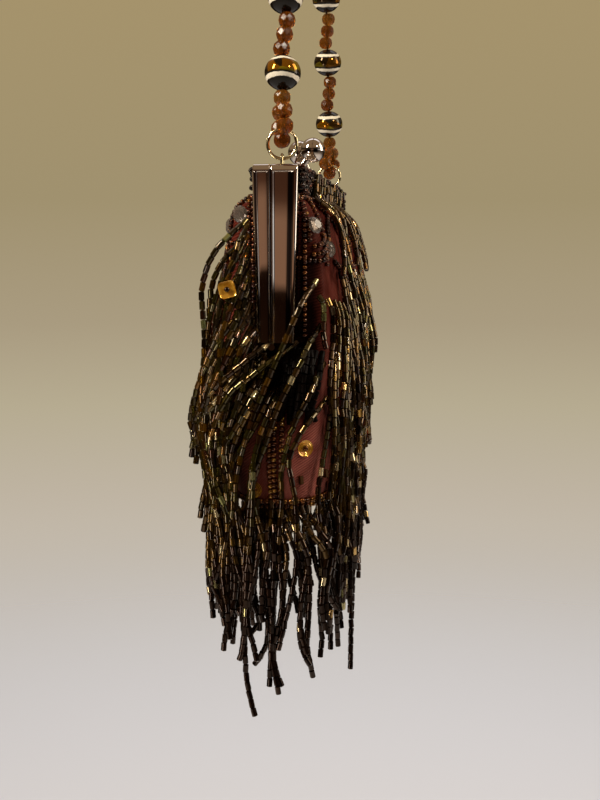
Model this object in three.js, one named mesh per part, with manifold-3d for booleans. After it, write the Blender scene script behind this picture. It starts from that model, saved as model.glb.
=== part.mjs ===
// A small beaded evening clutch hanging from its own bead strap. A soft satin pouch is held in the two
// halves of a polished metal frame with a kiss lock. Tiers of bead fringe hang round the pouch, and a
// string of amber and banded beads runs from ring to ring as the handle.
// Millimetres, +Z up, +X along the bag, -Y its front. The origin is where the strap hangs on a hook.
import * as THREE from "three";
import { mergeVertices } from "three/addons/utils/BufferGeometryUtils.js";
import Module from "manifold-3d";

const wasm = await Module();
wasm.setup();

// Driving dimensions. Depth is measured down from the top of the frame.
const clearance = 0.3; // between pieces that touch on the real bag

const frameLength = 150;
const frameLegHeight = 57;
const frameHalfThickness = 7.5;
const frameSeam = 1.5; // the seam lies behind the middle, so the front half is the deeper one
const frameFootShare = 0.81; // thickness left at the foot of the legs
const frameBand = 7; // width of the flange seen on the faces of the bag
const frameSheet = 0.9;
const frameLip = 2.2;
const frameRim = 0.95;
const framePanelSink = 0.55;
const frameCornerRadius = 2;

const fittingRoot = 1.0; // how far knobs and eyes reach into the metal
const knobRadius = 4.6;
const knobHeight = 10.7;
const knobSpread = 4.8; // along the frame, either side of its middle
const knobStemRadius = 1.3;

const eyeInset = 5; // from the end of the frame
const eyeForward = 1.7; // from the middle of the frame to its front
const eyeRadius = 1.5;
const eyeRise = 1.7;
const eyeWire = 0.45;

const ringRadius = 4.7;
const ringWire = 0.55;
const ringRise = 6.5;

const hingeBarrelRadius = 1.1;
const hingeBarrelLength = 3.6;

const bandedBeadRadius = 5.5;
const bandedBeadBore = 1.0;
const bandedBeadCount = 15;
const amberRadius = 2.6;
const amberLength = 4.8;
const amberPerGap = 3;
const threadRadius = 0.5;
const strapArchRadius = 36;

const wall = 1.6; // satin with its backing
const pouchColumns = 40;
const foldsRound = 10;

// Each row is a level section of the pouch: a superellipse with soft gathers below the frame. Front and
// back are its half depths, and held is how far the legs of the frame keep its ends flat.
const pouchRows = [
  { depth: 3.4, halfLength: 71.3, front: 5.6, back: 5.6, squareness: 5.0, fold: 0.0, held: 0 },
  { depth: 7.6, halfLength: 71.3, front: 6.0, back: 6.2, squareness: 4.0, fold: 0.0, held: 0 },
  { depth: 12, halfLength: 71.2, front: 11.0, back: 17.0, squareness: 3.0, fold: 0.8, held: 1 },
  { depth: 23, halfLength: 71.0, front: 15.6, back: 21.0, squareness: 3.4, fold: 1.0, held: 1 },
  { depth: 40, halfLength: 70.4, front: 18.4, back: 23.4, squareness: 3.6, fold: 0.8, held: 1 },
  { depth: 57, halfLength: 69.6, front: 19.6, back: 24.6, squareness: 3.6, fold: 0.5, held: 1 },
  { depth: 66, halfLength: 72.6, front: 20.2, back: 24.8, squareness: 3.5, fold: 0.3, held: 0 },
  { depth: 84, halfLength: 74.8, front: 20.2, back: 24.0, squareness: 3.4, fold: 0.2, held: 0 },
  { depth: 102, halfLength: 74.4, front: 18.8, back: 21.0, squareness: 3.2, fold: 0.0, held: 0 },
  { depth: 110, halfLength: 72.8, front: 17.0, back: 18.0, squareness: 3.0, fold: 0.0, held: 0 },
  { depth: 113, halfLength: 69.8, front: 13.6, back: 14.0, squareness: 2.8, fold: 0.0, held: 0 },
];
const legHold = 4; // half thickness of the cloth inside a leg of the frame
const legEdge = 66.9; // along the bag, where the cloth leaves the leg
const legFlare = 2.5; // how steeply it spreads from there

// Below each hinge the end of the cloth folds in on itself.
const gussetTuck = 11;
const gussetDepth = 67;
const gussetReach = 13;
const gussetWidth = 7;

// Each row is a tier of fringe: the strip that it is sewn to, and the locks that hang from it.
// near is the gap between a lock and the pouch once it is clear of the strip, from and to are in degrees.
const fringeTiers = [
  { name: "upper_front", from: 212, to: 328, top: 33, locks: 10, width: 11, near: 4.7, clear: 66, tip: 94 },
  { name: "upper_back", from: 32, to: 148, top: 25, locks: 10, width: 11, near: 4.7, clear: 66, tip: 92 },
  { name: "middle", from: 0, to: 360, top: 60.5, locks: 20, width: 12, near: 2.0, clear: 86, tip: 136 },
  { name: "lower", from: 0, to: 360, top: 108, locks: 22, width: 11, near: 0.9, clear: 122, tip: 158 },
];
const stripHeight = 3;
const lockThickness = 1.3;
const stripNear = 0.9;
const stripFar = 1.8;
const tipSway = 13; // how far the tips of neighbouring locks differ

// Each row is a pair of clear cut stones: how far along, and their depths on the front and the back.
const stoneRows = [
  { along: -63.5, front: 19.5, back: 15.5 },
  { along: -52, front: 27, back: 19 },
  { along: 52, front: 27, back: 19 },
  { along: 63.5, front: 19.5, back: 15.5 },
];
const stoneRadius = 2.9;
const stoneTable = 1.6;
const stoneHeight = 2.5;
const stoneFacets = 8;

// The six beads of the loop that holds each ring: side is across the loop, rise is above its lowest bead.
const loopBeads = [
  { side: 0, rise: 13.2 },
  { side: -2.9, rise: 8.9 },
  { side: -4.2, rise: 4.0 },
  { side: 0, rise: 0 },
  { side: 4.2, rise: 4.0 },
  { side: 2.9, rise: 8.9 },
];
const loopTurn = THREE.MathUtils.degToRad(20);

const polishedMetal = new THREE.MeshStandardMaterial({ color: 0xb7aea6, metalness: 1, roughness: 0.07 });
const ringMetal = new THREE.MeshStandardMaterial({ color: 0xc9bd98, metalness: 1, roughness: 0.18 });
const burgundySatin = new THREE.MeshStandardMaterial({ color: 0x5a2424, metalness: 0, roughness: 0.5 });
const bronzeGlass = new THREE.MeshStandardMaterial({ color: 0x3a2e1e, metalness: 0.6, roughness: 0.25 });
const amberGlass = new THREE.MeshStandardMaterial({ color: 0x8a4510, metalness: 0, roughness: 0.12 });
const bandedGlass = new THREE.MeshStandardMaterial({ color: 0x1d1710, metalness: 0, roughness: 0.1 });
const clearGlass = new THREE.MeshStandardMaterial({ color: 0xd2ccc6, metalness: 0, roughness: 0.05 });

// Solids from rings of points, and joins of solids.
function geometryOf(positions, triangles) {
  const loose = new THREE.BufferGeometry();
  loose.setAttribute("position", new THREE.Float32BufferAttribute(positions, 3));
  loose.setIndex(triangles);
  const merged = mergeVertices(loose, 1e-4);
  const kept = [];
  for (let i = 0; i < merged.index.count; i += 3) {
    const [a, b, c] = [0, 1, 2].map((corner) => merged.index.getX(i + corner));
    if (a !== b && b !== c && a !== c) kept.push(a, b, c);
  }
  merged.setIndex(kept);
  return merged;
}

function signedVolume(geometry) {
  const { index, attributes } = geometry;
  const corner = (i) => new THREE.Vector3().fromBufferAttribute(attributes.position, index.getX(i));
  let volume = 0;
  for (let i = 0; i < index.count; i += 3) volume += corner(i).dot(corner(i + 1).cross(corner(i + 2))) / 6;
  return volume;
}

function facingOut(geometry) {
  if (signedVolume(geometry) >= 0) return geometry;
  geometry.setIndex(Array.from(geometry.index.array).reverse());
  return geometry;
}

// Triangles that fill a ring and run round it the way the ring does.
function endFill(ring, flat) {
  if (!flat) return ring.slice(2).map((_, i) => [0, i + 1, i + 2]);
  const outline = ring.map(flat);
  const filled = THREE.ShapeUtils.triangulateShape(outline, []);
  const clockwise = (points) => THREE.ShapeUtils.isClockWise(points);
  const same = clockwise(filled[0].map((i) => outline[i])) === clockwise(outline);
  return same ? filled : filled.map(([a, b, c]) => [a, c, b]);
}

// A closed skin through rings of points. The two ends are filled in the plane that flat gives,
// or the last ring runs on to the first when the loft is a hoop.
function loft(rings, { flat = null, hoop = false } = {}) {
  const count = rings[0].length;
  const positions = rings.flat().flatMap((p) => [p.x, p.y, p.z]);
  const triangles = [];
  const spans = hoop ? rings.length : rings.length - 1;
  for (let r = 0; r < spans; r++) {
    const here = r * count;
    const next = ((r + 1) % rings.length) * count;
    for (let i = 0; i < count; i++) {
      const j = (i + 1) % count;
      triangles.push(here + i, here + j, next + j, here + i, next + j, next + i);
    }
  }
  if (!hoop) {
    const last = (rings.length - 1) * count;
    for (const [a, b, c] of endFill(rings[0], flat)) triangles.push(a, c, b);
    for (const [a, b, c] of endFill(rings.at(-1), flat)) triangles.push(last + a, last + b, last + c);
  }
  return facingOut(geometryOf(positions, triangles));
}

function solidOf(geometry) {
  const bare = geometry.clone();
  bare.deleteAttribute("normal");
  bare.deleteAttribute("uv");
  const merged = mergeVertices(bare, 1e-4);
  return new wasm.Manifold(
    new wasm.Mesh({
      numProp: 3,
      vertProperties: merged.attributes.position.array,
      triVerts: new Uint32Array(merged.index.array),
    }),
  );
}

function join(geometries) {
  const solid = geometries.map(solidOf).reduce((whole, piece) => whole.add(piece));
  const mesh = solid.getMesh();
  return new THREE.BufferGeometry()
    .setAttribute("position", new THREE.BufferAttribute(mesh.vertProperties, 3))
    .setIndex(new THREE.BufferAttribute(mesh.triVerts, 1));
}

function node(name, geometry, material) {
  const mesh = new THREE.Mesh(geometry, material);
  mesh.name = name;
  return mesh;
}

// A ring of points round a centre, square to a direction.
function circle(centre, direction, radius, sides) {
  const turn = new THREE.Quaternion().setFromUnitVectors(new THREE.Vector3(0, 0, 1), direction);
  return Array.from({ length: sides }, (_, i) => {
    const angle = (2 * Math.PI * i) / sides;
    const spoke = new THREE.Vector3(Math.cos(angle), Math.sin(angle), 0).multiplyScalar(radius);
    return spoke.applyQuaternion(turn).add(centre);
  });
}

function rod(from, to, radius, sides) {
  const direction = to.clone().sub(from).normalize();
  return loft([circle(from, direction, radius, sides), circle(to, direction, radius, sides)]);
}

// The frame. Its section is a channel: a web whose panel lies sunk between two rims, a flange on the face of
// the bag and a lip along the seam. Inset is measured in from the outer edge, and share across the half
// from the seam. The section runs up one leg, along the top and down.
function frameSection(seam, face) {
  const out = Math.sign(face - seam);
  const depth = Math.abs(face - seam);
  const at = (inset, share) => ({ inset, y: seam + out * share });
  const backOfWeb = framePanelSink + frameSheet;
  return [
    at(0.35, 0),
    at(0, 0.35),
    at(0, frameRim),
    at(framePanelSink, frameRim + 0.55),
    at(framePanelSink, depth - frameRim - 1.75),
    at(0, depth - frameRim - 1.15),
    at(0, depth - 1.2),
    at(0.5, depth - 0.35),
    at(1.4, depth),
    at(frameBand, depth),
    at(frameBand, depth - frameSheet),
    at(2.2, depth - frameSheet),
    at(backOfWeb, depth - 1.6),
    at(backOfWeb, frameSheet),
    at(frameSheet + frameLip, frameSheet),
    at(frameSheet + frameLip, 0),
  ];
}

function frameHalf(seam, face) {
  const section = frameSection(seam, face);
  const taper = (y, z) => y * (1 + (1 - frameFootShare) * (z / frameLegHeight));
  const ring = (place) =>
    section.map(({ inset, y }) => {
      const { x, z } = place(inset);
      return new THREE.Vector3(x, taper(y, z), z);
    });
  const half = frameLength / 2;
  const foot = (side) => (inset) => ({ x: side * (half - inset), z: -frameLegHeight });
  const corner = (side, angle) => (inset) => {
    const radius = Math.max(frameCornerRadius - inset, 0);
    const centre = Math.max(frameCornerRadius, inset);
    return { x: side * (half - centre + radius * Math.cos(angle)), z: -centre + radius * Math.sin(angle) };
  };
  const bends = [0, Math.PI / 4, Math.PI / 2];
  const places = [
    foot(-1),
    ...bends.map((angle) => corner(-1, angle)),
    ...bends.toReversed().map((angle) => corner(1, angle)),
    foot(1),
  ];
  return loft(places.map(ring), { flat: (p) => new THREE.Vector2(p.x, p.y) });
}

function kissKnob(along, footY, knobY) {
  const foot = new THREE.Vector3(along, footY, -fittingRoot);
  const centre = new THREE.Vector3(along, knobY, knobHeight);
  const ball = new THREE.SphereGeometry(knobRadius, 10, 7).translate(centre.x, centre.y, centre.z);
  return [rod(foot, centre, knobStemRadius, 8), ball];
}

function strapEye(side) {
  const middle = side * (frameLength / 2 - eyeInset);
  const bends = 4;
  const points = Array.from({ length: bends + 1 }, (_, i) => {
    const angle = Math.PI * (1 - i / bends);
    const [across, up] = [eyeRadius * Math.cos(angle), eyeRadius * Math.sin(angle)];
    return new THREE.Vector3(middle + across, -eyeForward, eyeRise + up);
  });
  points.unshift(new THREE.Vector3(middle - eyeRadius, -eyeForward, -fittingRoot));
  points.push(new THREE.Vector3(middle + eyeRadius, -eyeForward, -fittingRoot));
  return tube(points, () => eyeWire, 5);
}

// A tube through points, with a radius for each point.
function tube(points, radiusAt, sides) {
  const rings = points.map((point, i) => {
    const before = points[Math.max(i - 1, 0)];
    const after = points[Math.min(i + 1, points.length - 1)];
    return circle(point, after.clone().sub(before).normalize(), radiusAt(i), sides);
  });
  return loft(rings);
}

// The pouch. Its section at any depth lies between two rows of the table.
function pouchSection(depth) {
  const after = Math.max(1, pouchRows.findIndex((row) => row.depth >= depth));
  const below = depth > pouchRows.at(-1).depth ? pouchRows.length - 1 : after;
  const [a, b] = [pouchRows[below - 1], pouchRows[below]];
  const share = THREE.MathUtils.clamp((depth - a.depth) / (b.depth - a.depth), 0, 1);
  const between = (key) => THREE.MathUtils.lerp(a[key], b[key], share);
  return {
    halfLength: between("halfLength"),
    front: between("front"),
    back: between("back"),
    squareness: between("squareness"),
    fold: between("fold"),
    held: between("held"),
  };
}

function sectionPoint({ halfLength, front, back, squareness, fold, held }, angle, inset = 0) {
  const [c, s] = [Math.cos(angle), Math.sin(angle)];
  const power = 2 / squareness;
  const x = Math.sign(c) * (halfLength - inset) * Math.abs(c) ** power;
  const ripple = fold * Math.cos(foldsRound * angle) * Math.abs(s);
  const free = ((s < 0 ? front : back) - inset) * Math.abs(s) ** power + ripple;
  const flare = legHold - inset * Math.hypot(1, legFlare) + legFlare * (legEdge - Math.abs(x));
  const kept = Math.min(free, Math.max(legHold - inset, flare));
  return new THREE.Vector2(x, Math.sign(s) * THREE.MathUtils.lerp(free, kept, held));
}

function pouch() {
  const ring = (row, inset, lift) =>
    Array.from({ length: pouchColumns }, (_, i) => {
      const flat = sectionPoint(row, (2 * Math.PI * i) / pouchColumns, inset);
      const away = ((row.depth - gussetDepth) / gussetReach) ** 2 + (flat.y / gussetWidth) ** 2;
      const x = flat.x - Math.sign(flat.x) * gussetTuck * Math.exp(-away);
      return new THREE.Vector3(x, flat.y, lift - row.depth);
    });
  const floor = pouchRows.length - 1;
  const inner = pouchRows.map((row, i) => ring(row, wall, i === floor ? wall : 0));
  const outer = pouchRows.map((row) => ring(row, 0, 0));
  return loft([...inner.toReversed(), ...outer], { flat: (p) => new THREE.Vector2(p.x, p.y) });
}

// Where a strand hangs: it follows the pouch down to its widest place and then drops straight.
const widestDepth = 86;

function hangPoint(angle, depth, sewnDepth, offset) {
  const rest = Math.max(sewnDepth, Math.min(depth, widestDepth));
  const section = { ...pouchSection(rest), fold: 0, held: 0 };
  const foot = sectionPoint(section, angle);
  const { halfLength, squareness } = section;
  const halfDepth = Math.sin(angle) < 0 ? section.front : section.back;
  const slope = (value, half) => (Math.sign(value) * Math.abs(value / half) ** (squareness - 1)) / half;
  const outward = new THREE.Vector2(slope(foot.x, halfLength), slope(foot.y, halfDepth)).normalize();
  const spare = pouchSection(rest).fold * Math.abs(Math.sin(angle));
  foot.addScaledVector(outward, offset + spare);
  return { point: new THREE.Vector3(foot.x, foot.y, -depth), outward };
}

// Angles that share the line of a tier into equal lengths, at the middle of each share.
function evenAngles(from, to, shares, depth) {
  const steps = 720;
  const section = pouchSection(depth);
  const angles = Array.from({ length: steps + 1 }, (_, i) => from + ((to - from) * i) / steps);
  const points = angles.map((angle) => sectionPoint({ ...section, fold: 0, held: 0 }, angle));
  const lengths = [0];
  for (let i = 1; i <= steps; i++) lengths.push(lengths[i - 1] + points[i].distanceTo(points[i - 1]));
  return Array.from({ length: shares }, (_, k) => {
    const wanted = ((k + 0.5) / shares) * lengths[steps];
    return angles[lengths.findIndex((length) => length >= wanted)];
  });
}

function fringeTier(tier) {
  const [from, to] = [tier.from, tier.to].map(THREE.MathUtils.degToRad);
  const whole = tier.to - tier.from === 360;
  const foot = tier.top + stripHeight;

  const stripStops = whole ? 28 : 11;
  const stripRing = (angle) =>
    [
      [tier.top, stripNear],
      [tier.top, stripFar],
      [foot, stripFar],
      [foot, stripNear],
    ].map(([depth, offset]) => hangPoint(angle, depth, tier.top, offset).point);
  const stopAngle = (i) => from + ((to - from) * i) / stripStops;
  const stops = Array.from({ length: stripStops + (whole ? 0 : 1) }, (_, i) => stopAngle(i));
  const strip = loft(stops.map(stripRing), { hoop: whole });

  const locks = evenAngles(from, to, tier.locks, tier.top).map((angle, i) => {
    const tip = tier.tip + tipSway * Math.sin(2.4 * i) * Math.cos(0.9 * i);
    const across = hangPoint(angle, foot, tier.top, 0).outward;
    const side = new THREE.Vector3(-across.y, across.x, 0);
    const far = tier.near + lockThickness;
    const levels = [
      { depth: tier.top + 0.4, near: stripNear + 0.2, far: stripFar + 0.4, width: tier.width },
      ...(tier.clear < foot + 14 ? [] : [{ depth: foot + 12, near: tier.near, far, width: tier.width }]),
      { depth: tier.clear, near: tier.near, far, width: tier.width },
      { depth: tip, near: tier.near + 0.3, far: far - 0.4, width: 0.45 * tier.width },
    ];
    const ring = ({ depth, near, far, width }) =>
      [
        [near, -0.5],
        [near, 0.5],
        [far, 0.5],
        [far, -0.5],
      ].map(([offset, share]) =>
        hangPoint(angle, depth, tier.top, offset).point.addScaledVector(side, share * width),
      );
    return loft(levels.map(ring));
  });
  return node(`fringe_${tier.name}`, join([strip, ...locks]), bronzeGlass);
}

// A cut stone with a flat table, standing on the pouch with its back to the cloth.
function cutStone(name, row, face) {
  const { along, [face]: depth } = row;
  const outline = [
    [0, 0],
    [0.75 * stoneRadius, 0],
    [stoneRadius, 0.4 * stoneHeight],
    [stoneTable, stoneHeight],
    [0, stoneHeight],
  ].map(([radius, height]) => new THREE.Vector2(radius, height));
  const stone = node(name, facingOut(new THREE.LatheGeometry(outline, stoneFacets)), clearGlass);
  const section = pouchSection(depth);
  const share = Math.abs(along / section.halfLength) ** (section.squareness / 2);
  const turn = Math.acos(Math.sign(along) * share);
  const angle = face === "front" ? -turn : turn;
  const { outward } = hangPoint(angle, depth, depth, 0);
  const foot = sectionPoint(section, angle);
  const [over, under] = [pouchSection(depth - 2), pouchSection(depth + 2)];
  const lean = (over[face] - under[face]) / 4;
  const normal = new THREE.Vector3(outward.x, outward.y, -lean).normalize();
  stone.quaternion.setFromUnitVectors(new THREE.Vector3(0, 1, 0), normal);
  stone.position.set(foot.x, foot.y, -depth).addScaledVector(normal, clearance);
  return stone;
}

// The strap. Each side runs straight from its loop of beads to an arch, and the halves mirror each other.
const loopFoot = ringRise + ringRadius - ringWire - clearance - amberRadius;
const strapFootX = frameLength / 2 - eyeInset;
const strapFootZ = loopFoot + loopBeads[0].rise + amberLength / 2;
const bandedLength = 2 * Math.sqrt(bandedBeadRadius ** 2 - bandedBeadBore ** 2);
const strapRepeat = bandedLength + amberPerGap * amberLength + 2 * clearance;
const strapHalfLength = ((bandedBeadCount - 1) / 2) * strapRepeat + clearance + bandedLength / 2;

// The lean of the straight run, for which run and arch together have the strap's half length.
function strapLean() {
  let lean = 0.2;
  for (let i = 0; i < 60; i++) {
    const straight = strapHalfLength - strapArchRadius * (Math.PI / 2 - lean);
    lean = Math.asin((strapFootX - strapArchRadius * Math.cos(lean)) / straight);
  }
  return lean;
}

const lean = strapLean();
const straightRun = strapHalfLength - strapArchRadius * (Math.PI / 2 - lean);
const archZ = strapFootZ + straightRun * Math.cos(lean) - strapArchRadius * Math.sin(lean);
const topBeadZ = archZ + strapArchRadius * Math.cos(bandedLength / 2 / strapArchRadius);
const hangDrop = topBeadZ - bandedBeadRadius;

// The strap's line on the side where x is negative, by length from the loop.
function strapPoint(length) {
  if (length <= straightRun) {
    const [inward, up] = [length * Math.sin(lean), length * Math.cos(lean)];
    return new THREE.Vector3(inward - strapFootX, 0, strapFootZ + up);
  }
  const angle = lean + (length - straightRun) / strapArchRadius;
  const [across, up] = [strapArchRadius * Math.cos(angle), strapArchRadius * Math.sin(angle)];
  return new THREE.Vector3(-across, 0, archZ + up);
}

const beadSides = 10;
const beadShape = [
  { share: 0, radius: 1.0 },
  { share: 0.5, radius: amberRadius },
];

// Stations of thread and beads along a line of beads whose ends meet.
function beadStations(from, to) {
  const run = to.clone().sub(from);
  return beadShape.map(({ share, radius }) => {
    return { point: from.clone().addScaledVector(run, share), radius };
  });
}

function stringTube(stations) {
  return tube(
    stations.map(({ point }) => point),
    (i) => stations[i].radius,
    beadSides,
  );
}

// The beads of one half of the strap: banded bead places, and the stations of the string through them.
function strapHalf() {
  const top = strapPoint(0);
  const down = new THREE.Vector3(0, 0, -amberLength);
  const stations = beadStations(top.clone().add(down), top);
  const banded = [];
  let length = 0;
  for (let i = 0; i <= (bandedBeadCount - 1) / 2; i++) {
    stations.push({ point: strapPoint(length), radius: beadShape[0].radius });
    const entry = strapPoint(length + clearance);
    const last = i === (bandedBeadCount - 1) / 2;
    const exit = last ? entry.clone().setX(-entry.x) : strapPoint(length + clearance + bandedLength);
    banded.push({ entry, exit });
    stations.push({ point: entry, radius: threadRadius });
    if (last) {
      const short = 0.5 - (0.5 * clearance) / bandedLength;
      stations.push({ point: entry.clone().lerp(exit, short), radius: threadRadius });
      break;
    }
    stations.push({ point: exit, radius: threadRadius });
    length += bandedLength + 2 * clearance;
    for (let k = 0; k < amberPerGap; k++) {
      stations.push(...beadStations(strapPoint(length), strapPoint(length + amberLength)));
      length += amberLength;
    }
  }
  return { stations, banded };
}

function loopTube() {
  const across = new THREE.Vector3(Math.cos(loopTurn), Math.sin(loopTurn), 0);
  const centre = new THREE.Vector3(-strapFootX, 0, loopFoot);
  const at = ({ side, rise }) =>
    centre.clone().addScaledVector(across, side).add(new THREE.Vector3(0, 0, rise));
  const places = [...loopBeads, loopBeads[0]].map(at);
  const gaps = places.slice(1).map((place, i) => place.clone().lerp(places[i], 0.5));
  const stations = [{ point: places[0], radius: threadRadius }];
  for (let i = 1; i < gaps.length; i++) {
    stations.push({ point: gaps[i - 1], radius: beadShape[0].radius });
    stations.push({ point: places[i], radius: amberRadius });
  }
  stations.push({ point: gaps.at(-1), radius: beadShape[0].radius });
  stations.push({ point: places[0], radius: threadRadius });
  return stringTube(stations);
}

function bandedBead(name, { entry, exit }) {
  const half = bandedLength / 2;
  const mouth = Math.asin(bandedBeadBore / bandedBeadRadius);
  const steps = 5;
  const outline = Array.from({ length: steps + 1 }, (_, i) => {
    const angle = mouth + ((Math.PI - 2 * mouth) * i) / steps;
    return new THREE.Vector2(bandedBeadRadius * Math.sin(angle), -bandedBeadRadius * Math.cos(angle));
  });
  outline[0].y = -half;
  outline[steps].y = half;
  outline.push(outline[0].clone());
  const bead = node(name, facingOut(new THREE.LatheGeometry(outline, beadSides)), bandedGlass);
  bead.quaternion.setFromUnitVectors(new THREE.Vector3(0, 1, 0), exit.clone().sub(entry).normalize());
  bead.position.copy(entry).lerp(exit, 0.5);
  return bead;
}

function mirrored(geometry) {
  return facingOut(geometry.clone().scale(-1, 1, 1));
}

// The whole bag, placed under the point where its strap hangs.
const bag = new THREE.Group();
bag.position.set(0, eyeForward, -hangDrop);
const strap = new THREE.Group();
strap.position.y = -eyeForward;
bag.add(strap);

const seamHalfGap = clearance / 2;
const frontHalf = frameHalf(frameSeam - seamHalfGap, -frameHalfThickness);
const backHalf = frameHalf(frameSeam + seamHalfGap, frameHalfThickness);
const frontFittings = [...kissKnob(knobSpread, -2.6, 2.6), strapEye(-1), strapEye(1)];
const backFittings = kissKnob(-knobSpread, 4.2, -3.6);
bag.add(
  node("frame_front", join([frontHalf, ...frontFittings]), polishedMetal),
  node("frame_back", join([backHalf, ...backFittings]), polishedMetal),
  node("pouch", pouch(), burgundySatin),
);

for (const [end, side] of [
  ["left", -1],
  ["right", 1],
]) {
  const barrelZ = -frameLegHeight - clearance - hingeBarrelRadius;
  const barrelPoint = (inset) =>
    new THREE.Vector3(side * (frameLength / 2 - inset), frameSeam * frameFootShare, barrelZ);
  const [barrelFrom, barrelTo] = [clearance + hingeBarrelLength, clearance].map(barrelPoint);
  bag.add(node(`hinge_barrel_${end}`, rod(barrelFrom, barrelTo, hingeBarrelRadius, 10), polishedMetal));

  const ring = node(`strap_ring_${end}`, new THREE.TorusGeometry(ringRadius, ringWire, 6, 14), ringMetal);
  ring.rotation.y = Math.PI / 2;
  ring.position.set(side * strapFootX, 0, ringRise);
  strap.add(ring);
}

fringeTiers.forEach((tier) => bag.add(fringeTier(tier)));
stoneRows.forEach((row, i) => {
  bag.add(cutStone(`stone_front_${i + 1}`, row, "front"), cutStone(`stone_back_${i + 1}`, row, "back"));
});

const { stations, banded } = strapHalf();
const leftString = join([stringTube(stations), loopTube()]);
strap.add(node("strap_string_left", leftString, amberGlass));
strap.add(node("strap_string_right", mirrored(leftString), amberGlass));
banded.forEach(({ entry, exit }, i) => {
  const across = (p) => p.clone().setX(-p.x);
  const mirrorPlace = { entry: across(exit), exit: across(entry) };
  const last = bandedBeadCount - i;
  strap.add(bandedBead(`strap_bead_${String(i + 1).padStart(2, "0")}`, { entry, exit }));
  if (i + 1 < last) strap.add(bandedBead(`strap_bead_${String(last).padStart(2, "0")}`, mirrorPlace));
});

const beadedClutch = new THREE.Group();
beadedClutch.add(bag);

export default beadedClutch;
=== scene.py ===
# A beaded evening clutch hanging by its bead strap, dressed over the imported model.
import bpy
import math
import numpy as np
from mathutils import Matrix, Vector


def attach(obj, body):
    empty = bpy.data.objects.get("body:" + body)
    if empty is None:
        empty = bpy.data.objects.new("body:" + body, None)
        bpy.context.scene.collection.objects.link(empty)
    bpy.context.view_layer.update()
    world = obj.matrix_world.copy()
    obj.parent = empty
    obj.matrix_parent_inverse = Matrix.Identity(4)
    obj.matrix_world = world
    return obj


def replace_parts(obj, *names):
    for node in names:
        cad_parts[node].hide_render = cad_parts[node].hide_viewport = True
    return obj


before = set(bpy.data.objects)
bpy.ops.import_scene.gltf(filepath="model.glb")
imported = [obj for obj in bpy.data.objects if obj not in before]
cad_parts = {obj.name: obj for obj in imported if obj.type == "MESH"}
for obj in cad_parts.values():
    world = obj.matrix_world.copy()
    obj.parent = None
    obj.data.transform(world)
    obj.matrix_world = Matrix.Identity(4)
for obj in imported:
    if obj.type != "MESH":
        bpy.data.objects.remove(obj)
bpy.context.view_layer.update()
print("packed model loaded")

mm = 0.001
bagTop = -178.90  # mm, top of the metal frame below the point where the strap hangs
strapForward = 1.7  # mm, from the middle of the frame to the strap, which hangs nearer the front
bagPlace = np.array([0, strapForward, bagTop])
ends = (("Left", -1), ("Right", 1))  # the near end and the far end
toFarEnd = np.array([-1, 1, 1])  # carries a place at the near end to the far end
faces = ("front", "back")
dice = np.random.default_rng(408)


# colours and nodes

def linear(hexColour):
    # sRGB to linear: a straight toe, then a power of 2.4
    parts = np.array([int(hexColour[i:i + 2], 16) for i in (1, 3, 5)]) / 255
    curved = ((parts + 0.055) / 1.055) ** 2.4
    return (*np.where(parts <= 0.04045, parts / 12.92, curved).tolist(), 1.0)


def addNode(tree, kind, links=None, stops=None, **settings):
    # one shader node: its settings, then each input as a value or another node's output
    node = tree.nodes.new(f"ShaderNode{kind}")
    for key, value in settings.items():
        setattr(node, key, value)
    for key, value in (links or {}).items():
        if isinstance(value, bpy.types.NodeSocket):
            tree.links.new(value, node.inputs[key])
        else:
            node.inputs[key].default_value = value
    if stops:  # colour bands as (place, hex)
        bands = node.color_ramp.elements
        while len(bands) < len(stops):
            bands.new(0.5)
        for band, (place, hexColour) in zip(bands, stops):
            band.position = place
            band.color = linear(hexColour)
    return node


def newMaterial(name, shader):
    # an empty material with one principled shader and its fixed values
    material = bpy.data.materials.new(name)
    material.use_nodes = True
    tree = material.node_tree
    tree.nodes.clear()
    body = addNode(tree, "BsdfPrincipled", shader)
    addNode(tree, "OutputMaterial", {"Surface": body.outputs[0]})
    return material, tree, body


def tinted(name, source, stops, shader):
    # a material with colours read off one value: one that the mesh carries, or noise with so many cells to
    # the metre
    material, tree, body = newMaterial(name, shader)
    if isinstance(source, str):
        value = addNode(tree, "Attribute", attribute_name=source)
    else:
        place = addNode(tree, "TexCoord").outputs["Object"]
        value = addNode(tree, "TexNoise", {"Vector": place, "Scale": source, "Detail": 2.0})
    tint = addNode(tree, "ValToRGB", {"Fac": value.outputs["Fac"]}, stops=stops)
    tree.links.new(tint.outputs[0], body.inputs["Base Color"])
    return material


def metal(name, colour, scale, detail, start, end, low, high):
    # a bare metal; noise with scale cells to the metre, between start and end, gives roughness low to high
    material, tree, body = newMaterial(name, {"Base Color": linear(colour), "Metallic": 1.0})
    place = addNode(tree, "TexCoord").outputs["Object"]
    marks = addNode(tree, "TexNoise", {"Vector": place, "Scale": scale, "Detail": detail})
    rough = addNode(tree, "MapRange", {"Value": marks.outputs["Fac"], "From Min": start, "From Max": end,
                                       "To Min": low, "To Max": high})
    tree.links.new(rough.outputs[0], body.inputs["Roughness"])
    return material


# meshes

def gridQuads(rows, cols, wrapRows=False, wrapCols=False):
    # quads between neighbours of a rows by cols grid
    r = np.arange(rows if wrapRows else rows - 1)[:, None]
    c = np.arange(cols if wrapCols else cols - 1)[None, :]
    rn, cn = (r + 1) % rows, (c + 1) % cols
    return np.stack([r * cols + c, r * cols + cn, rn * cols + cn, rn * cols + c], -1).reshape(-1, 4)


def endCaps(rows, cols):
    # one face over the first row of a grid and one over the last
    return np.stack([np.arange(cols)[::-1], (rows - 1) * cols + np.arange(cols)])


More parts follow.
